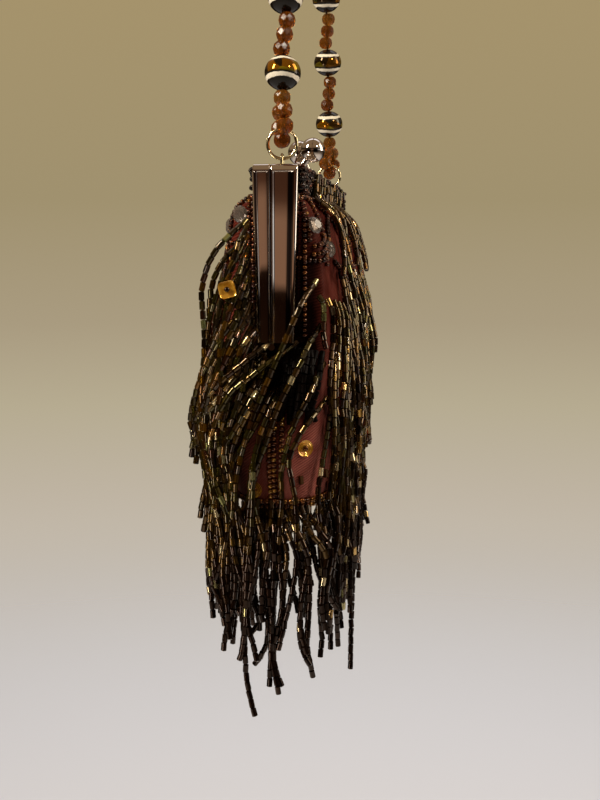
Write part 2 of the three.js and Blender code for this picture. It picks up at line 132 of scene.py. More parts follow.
def windOut(points, polys):
    # signed volume from fans over each polygon; turned round when it is negative
    volume = 0.0
    for p in polys:
        for k in range(1, p.shape[1] - 1):
            a, b, c = points[p[:, 0]], points[p[:, k]], points[p[:, k + 1]]
            volume += np.einsum("ij,ij->", a, np.cross(b, c))
    return [p[:, ::-1] for p in polys] if volume < 0 else polys


def newObject(name, data, place=None, ahead=None):
    # an object in the scene; lamps and the camera are put in a place and turned to look ahead
    item = bpy.data.objects.new(name, data)
    if ahead is not None:
        item.location = place
        item.rotation_euler = ahead.to_track_quat("-Z", "Y").to_euler()
    bpy.context.scene.collection.objects.link(item)
    return item


def placeMesh(name, points, polys, material, smooth=True, sharp=None, tone=None, uv=None):
    # points in bag millimetres; polys holds one index array for each number of corners
    points = np.asarray(points, float).reshape(-1, 3)
    polys = windOut(points - points.mean(0), polys)
    corners = np.concatenate([p.ravel() for p in polys]).astype(np.int32)
    sizes = np.concatenate([np.full(len(p), p.shape[1]) for p in polys])
    starts = np.concatenate([[0], np.cumsum(sizes)[:-1]]).astype(np.int32)
    mesh = bpy.data.meshes.new(name)
    mesh.vertices.add(len(points))
    mesh.vertices.foreach_set("co", ((points + bagPlace) * mm).astype(np.float32).ravel())
    mesh.loops.add(len(corners))
    mesh.loops.foreach_set("vertex_index", corners)
    mesh.polygons.add(len(sizes))
    mesh.polygons.foreach_set("loop_start", starts)
    mesh.update(calc_edges=True)
    mesh.polygons.foreach_set("use_smooth", np.full(len(sizes), smooth))
    for key, values in (tone or {}).items():
        layer = mesh.attributes.new(key, "FLOAT", "POINT")
        layer.data.foreach_set("value", np.asarray(values, np.float32).ravel())
    if uv is not None:
        layer = mesh.uv_layers.new(name="cloth")
        layer.data.foreach_set("uv", np.asarray(uv, np.float32).reshape(-1, 2)[corners].ravel())
    if sharp is not None:
        mesh.set_sharp_from_angle(angle=math.radians(sharp))
    mesh.materials.append(material)
    piece = newObject(name, mesh)
    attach(piece, "root")
    return piece


def crossFrames(axes):
    # two unit directions square to each axis
    axes = axes / np.linalg.norm(axes, axis=-1, keepdims=True)
    other = np.where(np.abs(axes[..., 2:]) < 0.9, [0.0, 0.0, 1.0], [1.0, 0.0, 0.0])
    u = np.cross(axes, other)
    u /= np.linalg.norm(u, axis=-1, keepdims=True)
    return axes, u, np.cross(axes, u)


def fullTurn(count):
    # angles at even steps round a full turn
    return 2 * np.pi * np.arange(count) / count


def latheForm(profile, sides, cut=False, hollow=False, wide=1.0):
    # a profile of (radius, height) turned round its height, with the radii times wide; cut turns each ring
    # on by half a side, so that triangles stand between the rings like ground facets; hollow joins the
    # last ring to the first, and without it both ends are capped
    profile = np.asarray(profile, float)
    step = np.pi / sides if cut else 0.0
    turn = fullTurn(sides) + step * np.arange(len(profile))[:, None]
    r, h = profile[:, :1] * wide, profile[:, 1:]
    points = np.stack([r * np.cos(turn), r * np.sin(turn), h + 0 * turn], -1).reshape(-1, 3)
    quads = gridQuads(len(profile), sides, wrapRows=hollow, wrapCols=True)
    if hollow:
        return points, [quads]
    walls = np.concatenate([quads[:, [0, 1, 3]], quads[:, [1, 2, 3]]]) if cut else quads
    return points, [walls, endCaps(len(profile), sides)]


def stamp(form, centres, axes, spins=None, scales=None):
    # copies of one form: height along each axis, radii in the plane across it, turned by spin
    points, polys = form
    axes, u, v = crossFrames(np.asarray(axes, float))
    spins = np.zeros(len(axes)) if spins is None else spins
    scales = np.ones(len(axes)) if scales is None else scales
    c, s = np.cos(spins)[:, None], np.sin(spins)[:, None]
    u, v, axes = (way * scales[:, None] for way in (u * c + v * s, v * c - u * s, axes))
    placed = (centres[:, None] + points[None, :, :1] * u[:, None] + points[None, :, 1:2] * v[:, None]
              + points[None, :, 2:] * axes[:, None])
    step = len(points) * np.arange(len(axes))[:, None, None]
    return placed.reshape(-1, 3), [(p[None] + step).reshape(-1, p.shape[1]) for p in polys]


def stampMesh(name, form, centres, axes, material, spins=None, scales=None, tone=None, **look):
    # one mesh of all the copies of a form; tone holds one value for each copy
    points, polys = stamp(form, centres, axes, spins, scales)
    tone = {key: np.repeat(values, len(form[0])) for key, values in (tone or {}).items()}
    return placeMesh(name, points, polys, material, tone=tone, **look)


def smoothed(points, rounds=2, closed=False):
    # corner cutting: each edge keeps its quarter points
    points = np.asarray(points, float)
    for _ in range(rounds):
        a = points if closed else points[:-1]
        b = np.roll(points, -1, 0) if closed else points[1:]
        cut = np.stack([0.75 * a + 0.25 * b, 0.25 * a + 0.75 * b], 1).reshape(-1, points.shape[1])
        points = cut if closed else np.concatenate([points[:1], cut, points[-1:]])
    return points


def alongPath(points, spacing, start=0.0, end=0.0):
    # places and directions at an even spacing along a line of points
    points = np.asarray(points, float)
    steps = np.linalg.norm(np.diff(points, axis=0), axis=1)
    length = np.concatenate([[0], np.cumsum(steps)])
    places = np.arange(start, length[-1] - end, spacing)
    at, ahead, back = (np.stack([np.interp(places + way, length, points[:, k]) for k in range(3)], -1)
                       for way in (0.0, 0.3, -0.3))
    return at, ahead - back


def wireTube(name, line, radius, material, sides=12, closed=False):
    # a round section carried along a line
    line = np.asarray(line, float)
    ahead = np.roll(line, -1, 0) - np.roll(line, 1, 0) if closed else np.gradient(line, axis=0)
    _, u, v = crossFrames(ahead)
    turn = fullTurn(sides)[:, None]
    ring = np.cos(turn) * u[:, None] + np.sin(turn) * v[:, None]
    polys = [gridQuads(len(line), sides, wrapRows=closed, wrapCols=True)]
    if not closed:
        polys.append(endCaps(len(line), sides))
    return placeMesh(name, line[:, None] + radius * ring, polys, material, sharp=60)


def smoothStep(t):
    # 0 to 1 with a level start and end: three squares less two cubes
    t = np.clip(t, 0, 1)
    return t * t * (3 - 2 * t)


def fades(value, edge, soft):
    # 1 below the edge and 0 above it, on a logistic curve
    return 1 / (1 + np.exp((value - edge) / soft))


# metal frame

frameShell = {"length": 150, "legHeight": 57, "halfThickness": 7.5, "seam": 1.5, "seamGap": 0.3,
              "footShare": 0.81, "band": 7.0, "sheet": 0.9, "lip": 3.1, "corner": 2.0}
frameHalves = {  # panel and rim from the face, slope of the rim, share of the seam's rim, splay of the feet
    "Front": dict(panel=3.0, rim=1.4, slope=0.0, seamRim=1.0, splay=0.5),
    "Back": dict(panel=1.75, rim=1.4, slope=0.3, seamRim=0.65, splay=0.0)}

# chrome plated brass, pressed and buffed: a mirror with a faint warm cast and a few soft rub marks,
# each about 7 mm wide
chromePlate = metal("chromePlate", "#d9d0c8", 140.0, 4.0, 0.35, 0.75, 0.015, 0.05)


def halfThick(depth):
    # half the thickness of the frame, which tapers evenly to the feet
    f = frameShell
    return f["halfThickness"] * (1 - (1 - f["footShare"]) * depth / f["legHeight"])


def frameProfile(seam, face, half):
    # section of one half as (inset, y): seam rim, sunk panel, slope, outer rim, flange, and back along the
    # inside, its corners cut twice
    out, d = np.sign(face - seam), abs(face - seam)
    band, sheet, lip = (frameShell[key] for key in ("band", "sheet", "lip"))
    panel, rim, slope = d - half["panel"], d - half["rim"], half["slope"]
    seamRim = [(0.40, 0.0), (0.10, 0.06), (0.0, 0.28), (0.0, 0.52), (0.10, 0.74), (0.36, 0.92), (0.50, 1.12),
               (0.55, 1.5)]
    line = [(a, b * half["seamRim"]) for a, b in seamRim] + [
        (0.56, (1.5 + panel) / 2), (0.55, panel), (0.45, panel + 0.2), (0.12, rim - 0.15), (0.0, rim),
        (0.6 * slope, d - 0.7), (slope + 0.08, d - 0.35), (slope + 0.4, d - 0.06), (1.3, d), (3.0, d),
        (band - 0.5, d), (band - 0.08, d - 0.05), (band, d - 0.3), (band - 0.08, d - 0.8),
        (band - 0.5, d - sheet), (2.6, d - sheet), (1.7, d - 1.3), (1.5, d - 2.0), (1.5, 1.3), (1.7, 0.95),
        (lip - 0.2, 0.9), (lip, 0.7), (lip, 0.2), (lip - 0.2, 0.0), (1.2, 0.0)]
    line = smoothed(line, 2, closed=True)
    return line[:, 0], seam + out * line[:, 1]


def frameHalf(name, side):
    # the section carried up one leg, round two small corners and down; thickness tapers to the feet,
    # the sunk panels of the legs close below the corners, and splay spreads the feet
    f, half = frameShell, frameHalves[name]
    seam, face = f["seam"] + side * f["seamGap"] / 2, side * f["halfThickness"]
    inset, y = frameProfile(seam, face, half)
    reach, bend = f["length"] / 2, np.linspace(0, np.pi / 2, 7)[:, None]
    panel = (inset < 0.7) & (np.abs(y - seam) > 0.3) & (np.abs(y - face) > 0.5)
    level = np.where(panel, 0.0, inset)
    radius = np.maximum(f["corner"] - level, 0.12)
    centre = level + radius
    cornerX = reach - centre + radius * np.cos(bend)
    cornerZ = -centre + radius * np.sin(bend)
    closing = [-2.9, -2.7, -2.55, -2.45, -2.35, -2.2]
    legZ = np.concatenate([np.linspace(-f["legHeight"], -3.3, 12), closing])[:, None] + 0 * inset
    sunk = smoothStep((-2.3 - legZ) / 0.3)
    legX = reach - np.where(panel, inset * sunk, inset) - half["splay"] * legZ / f["legHeight"]
    x = np.concatenate([-legX, -cornerX, cornerX[::-1], legX[::-1]])
    z = np.concatenate([legZ, cornerZ, cornerZ[::-1], legZ[::-1]])
    points = np.stack([x, y * halfThick(-z) / f["halfThickness"], z], -1)
    polys = [gridQuads(*x.shape, wrapCols=True), endCaps(*x.shape)]
    return placeMesh(f"frame{name}Shell", points, polys, chromePlate, sharp=40)


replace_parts(frameHalf("Front", -1), "frame_front")
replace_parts(frameHalf("Back", 1), "frame_back")

kissLock = {"radius": 4.6, "height": 10.7, "spread": 4.8, "stem": 1.3, "collar": 2.1, "sink": 0.6}


def kissKnob(name, along, footY, ballY):
    # a turned knob on a leaning stem: collar, waist and ball as one profile
    k = kissLock
    foot, ball = np.array([along, footY, -k["sink"]]), np.array([along, ballY, k["height"]])
    reach = np.linalg.norm(ball - foot)
    stem = [(0.2, 0.0), (k["collar"], 0.0), (k["collar"], 1.1), (k["collar"] - 0.2, 1.4), (k["stem"], 1.9),
            (k["stem"], reach - k["radius"] + 0.2)]
    angle = np.linspace(np.pi * 0.92, 0.03, 22)
    sphere = np.stack([k["radius"] * np.sin(angle), reach + k["radius"] * np.cos(angle)], -1)
    sphere = sphere[sphere[:, 0] > k["stem"] * 0.9]
    profile = np.concatenate([smoothed(stem, 2), sphere, [(0.12, reach + k["radius"])]])
    return stampMesh(name, latheForm(profile, 32), foot[None], (ball - foot)[None], chromePlate, sharp=50)


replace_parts(kissKnob("kissKnobFront", kissLock["spread"], -2.6, 2.6), "frame_front")
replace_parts(kissKnob("kissKnobBack", -kissLock["spread"], 4.2, -3.6), "frame_back")

strapFittings = {"eyeX": 70.0, "eyeRadius": 1.5, "eyeRise": 1.7, "eyeWire": 0.45, "eyeSink": 0.8,
                 "ringRadius": 4.7, "ringWire": 0.55, "ringRise": 6.5}
# drawn brass wire with a pale gold flash: bright, with a soft broad gleam; draw marks of about 1 mm
paleGoldWire = metal("paleGoldWire", "#dccfa6", 900.0, 2.0, 0.0, 1.0, 0.10, 0.26)
for end, side in ends:
    f, middle = strapFittings, side * strapFittings["eyeX"]
    turn = np.linspace(np.pi, 0, 13)
    arch = np.stack([middle + f["eyeRadius"] * np.cos(turn), 0 * turn - strapForward,
                     f["eyeRise"] + f["eyeRadius"] * np.sin(turn)], -1)
    posts = [(middle + way * f["eyeRadius"], -strapForward, -f["eyeSink"]) for way in (-1, 1)]
    line = np.concatenate([posts[:1], arch, posts[1:]])
    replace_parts(wireTube(f"strapEye{end}", line, f["eyeWire"], paleGoldWire), "frame_front")
    turn = fullTurn(48)
    loop = np.stack([middle + 0 * turn, f["ringRadius"] * np.sin(turn) - strapForward,
                     f["ringRise"] + f["ringRadius"] * np.cos(turn)], -1)
    ring = wireTube(f"strapRing{end}", loop, f["ringWire"], paleGoldWire, closed=True)
    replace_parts(ring, f"strap_ring_{end.lower()}")
    bpy.data.objects[f"hinge_barrel_{end.lower()}"].material_slots[0].material = chromePlate
print("metal frame, kiss lock and rings made")


# bead strap

strap = {"footX": 70.0, "arch": 36.0, "banded": 5.5, "bore": 1.0, "bandedCount": 15, "thread": 0.45,
         "amber": 2.6, "amberLength": 4.8, "perGap": 3, "gap": 0.3, "loopTurn": 20.0, "zigzag": 0.75}
loopBeads = np.array([(0, 13.2), (-2.9, 8.9), (-4.2, 4.0), (0, 0), (4.2, 4.0), (2.9, 8.9)])  # across, up
halfCount = (strap["bandedCount"] + 1) // 2


def strapLine():
    # straight run and arch: the lean is the one for which both have the strap's half length
    s, f = strap, strapFittings
    loopFoot = f["ringRise"] + f["ringRadius"] - f["ringWire"] - s["gap"] - s["amber"]
    footZ = loopFoot + loopBeads[0, 1] + s["amberLength"] / 2
    banded = 2 * math.sqrt(s["banded"] ** 2 - s["bore"] ** 2)
    repeat = banded + s["perGap"] * s["amberLength"] + 2 * s["gap"]
    half = (s["bandedCount"] - 1) / 2 * repeat + s["gap"] + banded / 2
    lean = 0.2
    for _ in range(60):
        straight = half - s["arch"] * (math.pi / 2 - lean)
        lean = math.asin((s["footX"] - s["arch"] * math.cos(lean)) / straight)
    archZ = footZ + straight * math.cos(lean) - s["arch"] * math.sin(lean)

    def point(length):
        # the place at a length: up the leaning run, then round the arch by length over radius
        length = np.asarray(length, float)[..., None]
        y = 0 * length - strapForward
        run = np.concatenate([length * math.sin(lean) - s["footX"], y, footZ + length * math.cos(lean)], -1)
        angle = lean + (length - straight) / s["arch"]
        bend = np.concatenate([-s["arch"] * np.cos(angle), y, archZ + s["arch"] * np.sin(angle)], -1)
        return np.where(length <= straight, run, bend)
    return point, loopFoot, banded, repeat


strapPoint, loopFoot, bandedLength, strapRepeat = strapLine()
bandedFrom = strapRepeat * np.arange(halfCount) + strap["gap"]
entry, leave = strapPoint(bandedFrom), strapPoint(bandedFrom + bandedLength)
leave[-1] = entry[-1] * toFarEnd  # the top bead lies level
bandedAt, bandedAxis = (np.concatenate([near, near[:-1] * toFarEnd])
                        for near in ((entry + leave) / 2, leave - entry))
bandedAxis = bandedAxis * np.where(bandedAxis[:, 2:] < 0, -1, 1)

# lampwork glass, black with trailed white rings: glassy, dark mirror middle with gold and amber flecks
bandedGlass, tree, body = newMaterial("bandedGlass", {
    "Roughness": 0.06, "Specular IOR Level": 0.2, "Coat Weight": 0.1, "Coat Roughness": 0.03})
height = addNode(tree, "Attribute", attribute_name="height")
place = addNode(tree, "TexCoord").outputs["Object"]
wander = addNode(tree, "TexNoise", {"Vector": place, "Scale": 260.0, "Detail": 2.0})  # over about 4 mm
lift = addNode(tree, "Math", {0: wander.outputs["Fac"], 1: 0.10}, operation="MULTIPLY")
level = addNode(tree, "Math", {0: height.outputs["Fac"], 1: lift.outputs[0]}, operation="ADD").outputs[0]
rings = addNode(tree, "ValToRGB", {"Fac": level}, stops=[
    (0.0, "#15100c"), (0.262, "#15100c"), (0.275, "#f1ead9"), (0.372, "#f1ead9"), (0.386, "#14110e"),
    (0.80, "#14110e"), (0.815, "#efe7d2"), (0.885, "#efe7d2"), (0.90, "#15100c")])
flecks = addNode(tree, "TexVoronoi", {"Vector": place, "Scale": 210.0, "Randomness": 1.0})  # nearly 5 mm
fleckTint = addNode(tree, "ValToRGB", {"Fac": flecks.outputs["Color"]}, stops=[
    (0.0, "#2a2117"), (0.42, "#3a2a14"), (0.55, "#a0680f"), (0.68, "#a08a18"), (0.82, "#2e3a30"),
    (1.0, "#3b3430")])
middle = addNode(tree, "ValToRGB", {"Fac": level}, stops=[
    (0.0, "#000000"), (0.42, "#000000"), (0.52, "#ffffff"), (0.76, "#ffffff"), (0.80, "#000000")]).outputs[0]
skin = addNode(tree, "Mix", {"Factor": middle, "A": rings.outputs[0], "B": fleckTint.outputs[0]},
               data_type="RGBA")
tree.links.new(skin.outputs["Result"], body.inputs["Base Color"])
mirror = addNode(tree, "Math", {0: middle, 1: 0.75}, operation="MULTIPLY")
tree.links.new(mirror.outputs[0], body.inputs["Metallic"])

mouth = np.arcsin(strap["bore"] / strap["banded"])
angle = np.linspace(mouth, np.pi - mouth, 25)
flat = 1.06  # the balls are a little flat
ball = np.stack([flat * strap["banded"] * np.sin(angle), -strap["banded"] * np.cos(angle)], -1)
bore = [(strap["bore"] * 0.8, ball[-1, 1] - 0.5), (strap["bore"] * 0.8, ball[0, 1] + 0.5)]
form = latheForm(np.concatenate([ball, bore]), 28, hollow=True)
points, polys = stamp(form, bandedAt, bandedAxis, dice.uniform(0, 6, len(bandedAt)))
upness = np.tile((form[0][:, 2] / strap["banded"] + 1) / 2, len(bandedAt))
bandedBeads = placeMesh("strapBandedBeads", points, polys, bandedGlass, sharp=60, tone={"height": upness})
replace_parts(bandedBeads, *[f"strap_bead_{i:02d}" for i in range(1, 16)])

# pressed amber glass, fire polished: brown and see-through, with soft edged facets that catch the light
amberGlass = tinted("amberGlass", "shade", [(0.0, "#9c5014"), (0.5, "#bc7222"), (1.0, "#d09440")],
                    {"Roughness": 0.2, "IOR": 1.32, "Transmission Weight": 0.85})
gapFrom = strapRepeat * np.arange(halfCount - 1)[:, None] + bandedLength + 2 * strap["gap"]
amberFrom = (gapFrom + strap["amberLength"] * np.arange(strap["perGap"])).ravel()
entry, leave = strapPoint(amberFrom), strapPoint(amberFrom + strap["amberLength"])
amberAt, amberAxis = (entry + leave) / 2, leave - entry
amberAt[:, 1] += strap["zigzag"] * np.tile([0.9, -0.2, -1.0], halfCount - 1)  # to either side of the thread
loopTurn = math.radians(strap["loopTurn"])
loopWay = np.array([math.cos(loopTurn), math.sin(loopTurn), 0])
loopAt = np.array([-strap["footX"], -strapForward, loopFoot])
loopAt = loopAt + loopBeads[:, :1] * loopWay + loopBeads[:, 1:] * [0, 0, 1]
loopAxis = np.roll(loopAt, -1, 0) - np.roll(loopAt, 1, 0)
loopAxis[0] = (0, 0, 1)
sideAt, sideAxis = np.concatenate([amberAt, loopAt]), np.concatenate([amberAxis, loopAxis])

r, h = 1.07 * strap["amber"], strap["amberLength"] / 2
lower = [(0.75, -h), (0.62 * r, -0.93 * h), (0.93 * r, -0.5 * h)]
facetForm = latheForm([*lower, (r, 0.0), *[(a, -b) for a, b in lower[::-1]]], 8, cut=True)
for end, side in ends:
    at, axes = sideAt * [-side, 1, 1], sideAxis * [-side, 1, 1]
    amber = stampMesh(f"strapAmber{end}", facetForm, at, axes, amberGlass, dice.uniform(0, 6, len(at)),
                      tone={"shade": dice.uniform(0.1, 0.9, len(at))}, smooth=False)
    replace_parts(amber, f"strap_string_{end.lower()}")

# waxed brown thread through all the beads: dull, with the light and dark of its ply, every 0.7 mm
waxedThread = tinted("waxedThread", 1500.0, [(0.3, "#2b1708"), (0.7, "#4a2a10")],
                     {"Roughness": 0.6, "Sheen Weight": 0.3})
upLine = strapPoint(np.linspace(-strap["amberLength"] / 2, bandedFrom[-1] + bandedLength / 2, 160))
loopLine = smoothed(loopAt, 2, closed=True)
for end, side in ends:
    for name, line, closed in (("strapThread", upLine, False), ("loopThread", loopLine, True)):
        thread = wireTube(f"{name}{end}", line * [-side, 1, 1], strap["thread"], waxedThread, 6, closed)
        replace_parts(thread, f"strap_string_{end.lower()}")
print("bead strap strung")


# pouch

pouchTable = np.array([  # depth, half length, front, back, squareness, fold, held by the legs
    (3.4, 71.3, 5.6, 5.6, 5.0, 0.0, 0), (7.6, 71.3, 6.0, 6.2, 4.0, 0.0, 0),
    (12, 71.2, 11.0, 17.0, 3.0, 0.8, 1), (23, 71.0, 15.6, 21.0, 3.4, 1.0, 1),
    (40, 70.4, 18.4, 23.4, 3.6, 0.8, 1), (57, 69.6, 19.6, 24.6, 3.6, 0.5, 1),
    (66, 72.6, 20.2, 24.8, 3.5, 0.3, 0), (84, 74.8, 20.2, 24.0, 3.4, 0.2, 0),
    (102, 74.4, 18.8, 21.0, 3.2, 0.0, 0), (110, 72.8, 17.0, 18.0, 3.0, 0.0, 0),
    (113, 69.8, 13.6, 14.0, 2.8, 0.0, 0)])
pouch = {"folds": 10, "wall": 1.6, "columns": 320, "rows": 110, "legHold": 4.0, "legEdge": 66.9,
         "legFlare": 2.5, "soft": 0.5, "longest": 86.0, "thickest": 66.0, "gather": 0.34,
         "mouth": 3.4, "brink": 110.0, "foot": 113.0, "brinkRows": 8, "girthRow": 60}
gusset = {"tuck": 11.0, "depth": 67.0, "reach": 13.0, "width": 7.0}  # the end folds in below each hinge


def tableAt(depth):
    # a curve through the rows of the table, with slopes from each row's neighbours
    depth = np.asarray(depth, float)
    x, y = pouchTable[:, 0], pouchTable[:, 1:]
    slope = np.gradient(y, x, axis=0)
    i = np.clip(np.searchsorted(x, depth) - 1, 0, len(x) - 2)
    w = (x[i + 1] - x[i])[..., None]
    t = np.clip((depth - x[i])[..., None] / w, 0, 1)
    rows = ((1 + 2 * t) * (1 - t) ** 2 * y[i] + t * (1 - t) ** 2 * w * slope[i]
            + t * t * (3 - 2 * t) * y[i + 1] + t * t * (t - 1) * w * slope[i + 1])
    return np.moveaxis(rows, -1, 0)


def softMin(a, b, k):
    # the lower of two values, rounded over k where they cross
    return -k * np.logaddexp(-a / k, -b / k)


def rounded(value, size, square):
    # superellipse: size times the value to the power of two over squareness, with the value's sign
    return np.sign(value) * size * np.abs(value) ** (2 / square)


def gussetTuck(y, depth):
    # how far the fold draws the end in: a bell over depth times a bell over y
    away = ((depth - gusset["depth"]) / gusset["reach"]) ** 2
    return gusset["tuck"] * np.exp(-away - (y / gusset["width"]) ** 2)


def pouchSection(angle, depth, inset=0.0):
    # level superellipse with folds, and gathers of two sines under the frame; the legs hold its ends flat
    # and it flares out beside them
    p = pouch
    length, front, back, square, fold, held = tableAt(depth)
    c, s = np.cos(angle), np.sin(angle)
    x = rounded(c, length - inset, square)
    y = rounded(np.abs(s), np.where(s < 0, front, back) - inset, square)
    y = y + fold * np.cos(p["folds"] * angle) * np.abs(s)
    gather = np.sin(41 * angle + 1.6 * np.sin(5 * angle)) + 0.6 * np.sin(67 * angle + depth * 0.08)
    y = y + p["gather"] * gather * np.abs(s) ** 2 * np.exp(-((depth - 15) / 10) ** 2) * (depth > 8)
    hold = p["legHold"] - inset * math.hypot(1, p["legFlare"])
    flare = hold + p["legFlare"] * (p["legEdge"] - np.abs(x))
    leg = -softMin(inset - p["legHold"] + 0 * flare, -flare, p["soft"])
    y = y + np.clip(held, 0, 1) * (softMin(y, leg, p["soft"]) - y)
    return x - np.sign(x) * gussetTuck(y, depth), np.sign(s) * y


def pouchSkin(angle, depth):
    # points on the cloth and their outward directions, square to short steps across and down
    angle, depth = np.broadcast_arrays(np.asarray(angle, float), np.asarray(depth, float))
    at = lambda a, d: np.stack([*pouchSection(a, d), -d], -1)
    across = at(angle + 0.004, depth) - at(angle - 0.004, depth)
    down = at(angle, np.minimum(depth + 0.2, pouch["foot"] - 0.1)) - at(angle, depth - 0.2)
    normal = np.cross(down, across)
    normal /= np.linalg.norm(normal, axis=-1, keepdims=True) + 1e-12
    return at(angle, depth), normal


# silk faille, woven with fine cross ribs and dyed burgundy: soft broken gleam and ribs; painted shade darkens
# the pleats beside the legs and below the hinges, and painted light makes the dye lighter towards the foot
burgundyFaille, tree, body = newMaterial("burgundyFaille", {
    "Roughness": 0.5, "Specular IOR Level": 0.16, "Specular Tint": linear("#c46a52")})
cloth = addNode(tree, "UVMap", uv_map="cloth").outputs[0]
turned = addNode(tree, "Mapping", {"Vector": cloth, "Rotation": (0, 0, math.radians(32))})
# ribs drawn every 0.8 mm, coarser than the real 0.3 mm so that they still show; the uv map is in millimetres
ribs = addNode(tree, "TexWave", {
    "Vector": turned.outputs[0], "Scale": 0.314 / 0.8, "Distortion": 0.6, "Detail": 1.0,
    "Detail Scale": 2.0}, bands_direction="Y")
slub = addNode(tree, "TexNoise", {"Vector": cloth, "Scale": 0.16, "Detail": 3.0})  # over about 6 mm
down = addNode(tree, "SeparateXYZ", {"Vector": cloth})
paintedFootLight = addNode(tree, "MapRange", {  # painted light: darker dye near the frame, lighter towards the foot
    "Value": down.outputs["Y"], "From Min": 40.0, "From Max": 100.0, "To Min": -0.25, "To Max": 0.45})
# the slub's own tone plus the painted light towards the foot
slubAndPaintedLight = addNode(tree, "Math", {0: slub.outputs["Fac"], 1: paintedFootLight.outputs[0]}, operation="ADD")
dye = addNode(tree, "ValToRGB", {"Fac": slubAndPaintedLight.outputs[0]}, stops=[
    (0.1, "#54190f"), (0.45, "#74352c"), (0.7, "#8c483f"), (1.0, "#a05c52")])
ribbed = addNode(tree, "Mix", {"Factor": 0.5, "A": dye.outputs[0], "B": ribs.outputs["Color"]},
                 data_type="RGBA", blend_type="MULTIPLY")
pleatShade = addNode(tree, "Attribute", attribute_name="pleatShade")  # painted shade: near black is mixed in where the cloth pleats beside the legs and below the hinges
shadedPleats = addNode(tree, "Mix", {"Factor": pleatShade.outputs["Fac"], "A": ribbed.outputs["Result"],
                             "B": linear("#0c0302")}, data_type="RGBA")
tree.links.new(shadedPleats.outputs["Result"], body.inputs["Base Color"])
weave = addNode(tree, "Bump", {"Height": ribs.outputs["Fac"], "Strength": 0.5, "Distance": 0.0002})
tree.links.new(weave.outputs[0], body.inputs["Normal"])

angle, foot = fullTurn(pouch["columns"]), pouch["foot"]
depth = np.concatenate([np.linspace(pouch["mouth"], pouch["brink"], pouch["rows"] - pouch["brinkRows"]),
                        np.linspace(pouch["brink"] + 0.6, foot, pouch["brinkRows"])])
outerX, outerY = pouchSection(angle[None], depth[:, None])
innerX, innerY = pouchSection(angle[None], depth[:, None], inset=pouch["wall"])
innerZ = -np.minimum(depth, foot - pouch["wall"])[:, None] + 0 * innerX
x = np.concatenate([innerX[::-1], outerX])
y = np.concatenate([innerY[::-1], outerY])
z = np.concatenate([innerZ[::-1], -depth[:, None] + 0 * outerX])
steps = np.diff([outerX[pouch["girthRow"]], outerY[pouch["girthRow"]]])
girth = np.concatenate([[0], np.cumsum(np.hypot(*steps))])
uv = np.stack([girth[None] + 0 * z, -z], -1)
# painted shade for the pleats beside the legs and below the hinges, strongest 32 to 76 mm down near the
# middle of each end
pleatShade = np.exp(-(np.maximum(np.abs(y) - 10.5, 0) / 3.5) ** 2) * np.clip((88 + z) / 12, 0, 1)
pleatShade = pleatShade * np.clip(-(z + 14) / 18, 0.15, 1) * (np.abs(x) > 45)
points, polys = np.stack([x, y, z], -1), [gridQuads(*x.shape, wrapCols=True), endCaps(*x.shape)]
pouchCloth = placeMesh("pouchCloth", points, polys, burgundyFaille, uv=uv, tone={"pleatShade": pleatShade})
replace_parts(pouchCloth, "pouch")
print("pouch sewn")


# places round the pouch are in millimetres from the middle of the near end, plus to the front

fineTurn = np.linspace(0, 2 * np.pi, 5761)
length, front, back, square = tableAt(np.full(fineTurn.shape, 80.0))[:4]
levelX = rounded(np.cos(fineTurn), length, square)
levelY = rounded(np.sin(fineTurn), np.where(np.sin(fineTurn) < 0, front, back), square)
levelRun = np.concatenate([[0], np.cumsum(np.hypot(np.diff(levelX), np.diff(levelY)))])
levelRun -= np.interp(np.pi, fineTurn, levelRun)
frontGirth, backGirth = levelRun[-1], -levelRun[0]


def turnAt(round):
    # angle of a place round the pouch; past the far end it runs on to the other face
    whole = frontGirth + backGirth
    return np.interp((np.asarray(round, float) + backGirth) % whole - backGirth, levelRun, fineTurn)


def placeOfX(alongX, face, depth):
    # the place round the pouch where the cloth of a face has a given x, from the superellipse turned round
    length, _, _, square, _, _ = tableAt(depth)
    turn = np.arccos(np.sign(alongX) * np.minimum(np.abs(alongX) / length, 1) ** (square / 2))
    return np.interp(2 * np.pi - turn if face == "front" else turn, fineTurn, levelRun)


# embroidery

# copper lined glass seeds: small round beads, brown red with a hot point of light
copperSeed = tinted("copperSeed", "tint", [
    (0.0, "#120602"), (0.2, "#2c1208"), (0.5, "#4c2410"), (0.85, "#744318"), (1.0, "#9a6e2c")],
    {"Metallic": 0.85, "Roughness": 0.14, "Coat Weight": 0.4, "Coat Roughness": 0.04})
seed = {"radius": 0.95, "height": 0.68, "pitch": 1.72, "raise": 0.75, "large": 1.15}
railSeeds = {"rows": (1.2, 3.0, 4.8, 6.5, 7.7), "reach": 70.5, "off": 0.45, "lean": 0.35}
r, h = seed["radius"], seed["height"]
seedForm = latheForm([(0.45 * r, -h), (0.9 * r, -0.62 * h), (r, 0.0), (0.9 * r, 0.62 * h), (0.45 * r, h)], 8)


def skinLine(stops):
    # a smooth line just off the cloth through stops of (place round, depth)
    stops = smoothed(stops, 3)
    t = np.linspace(0, len(stops) - 1, 400)
    round, depth = (np.interp(t, np.arange(len(stops)), stops[:, k]) for k in (0, 1))
    at, out = pouchSkin(turnAt(round), depth)
    return at + out * seed["raise"]


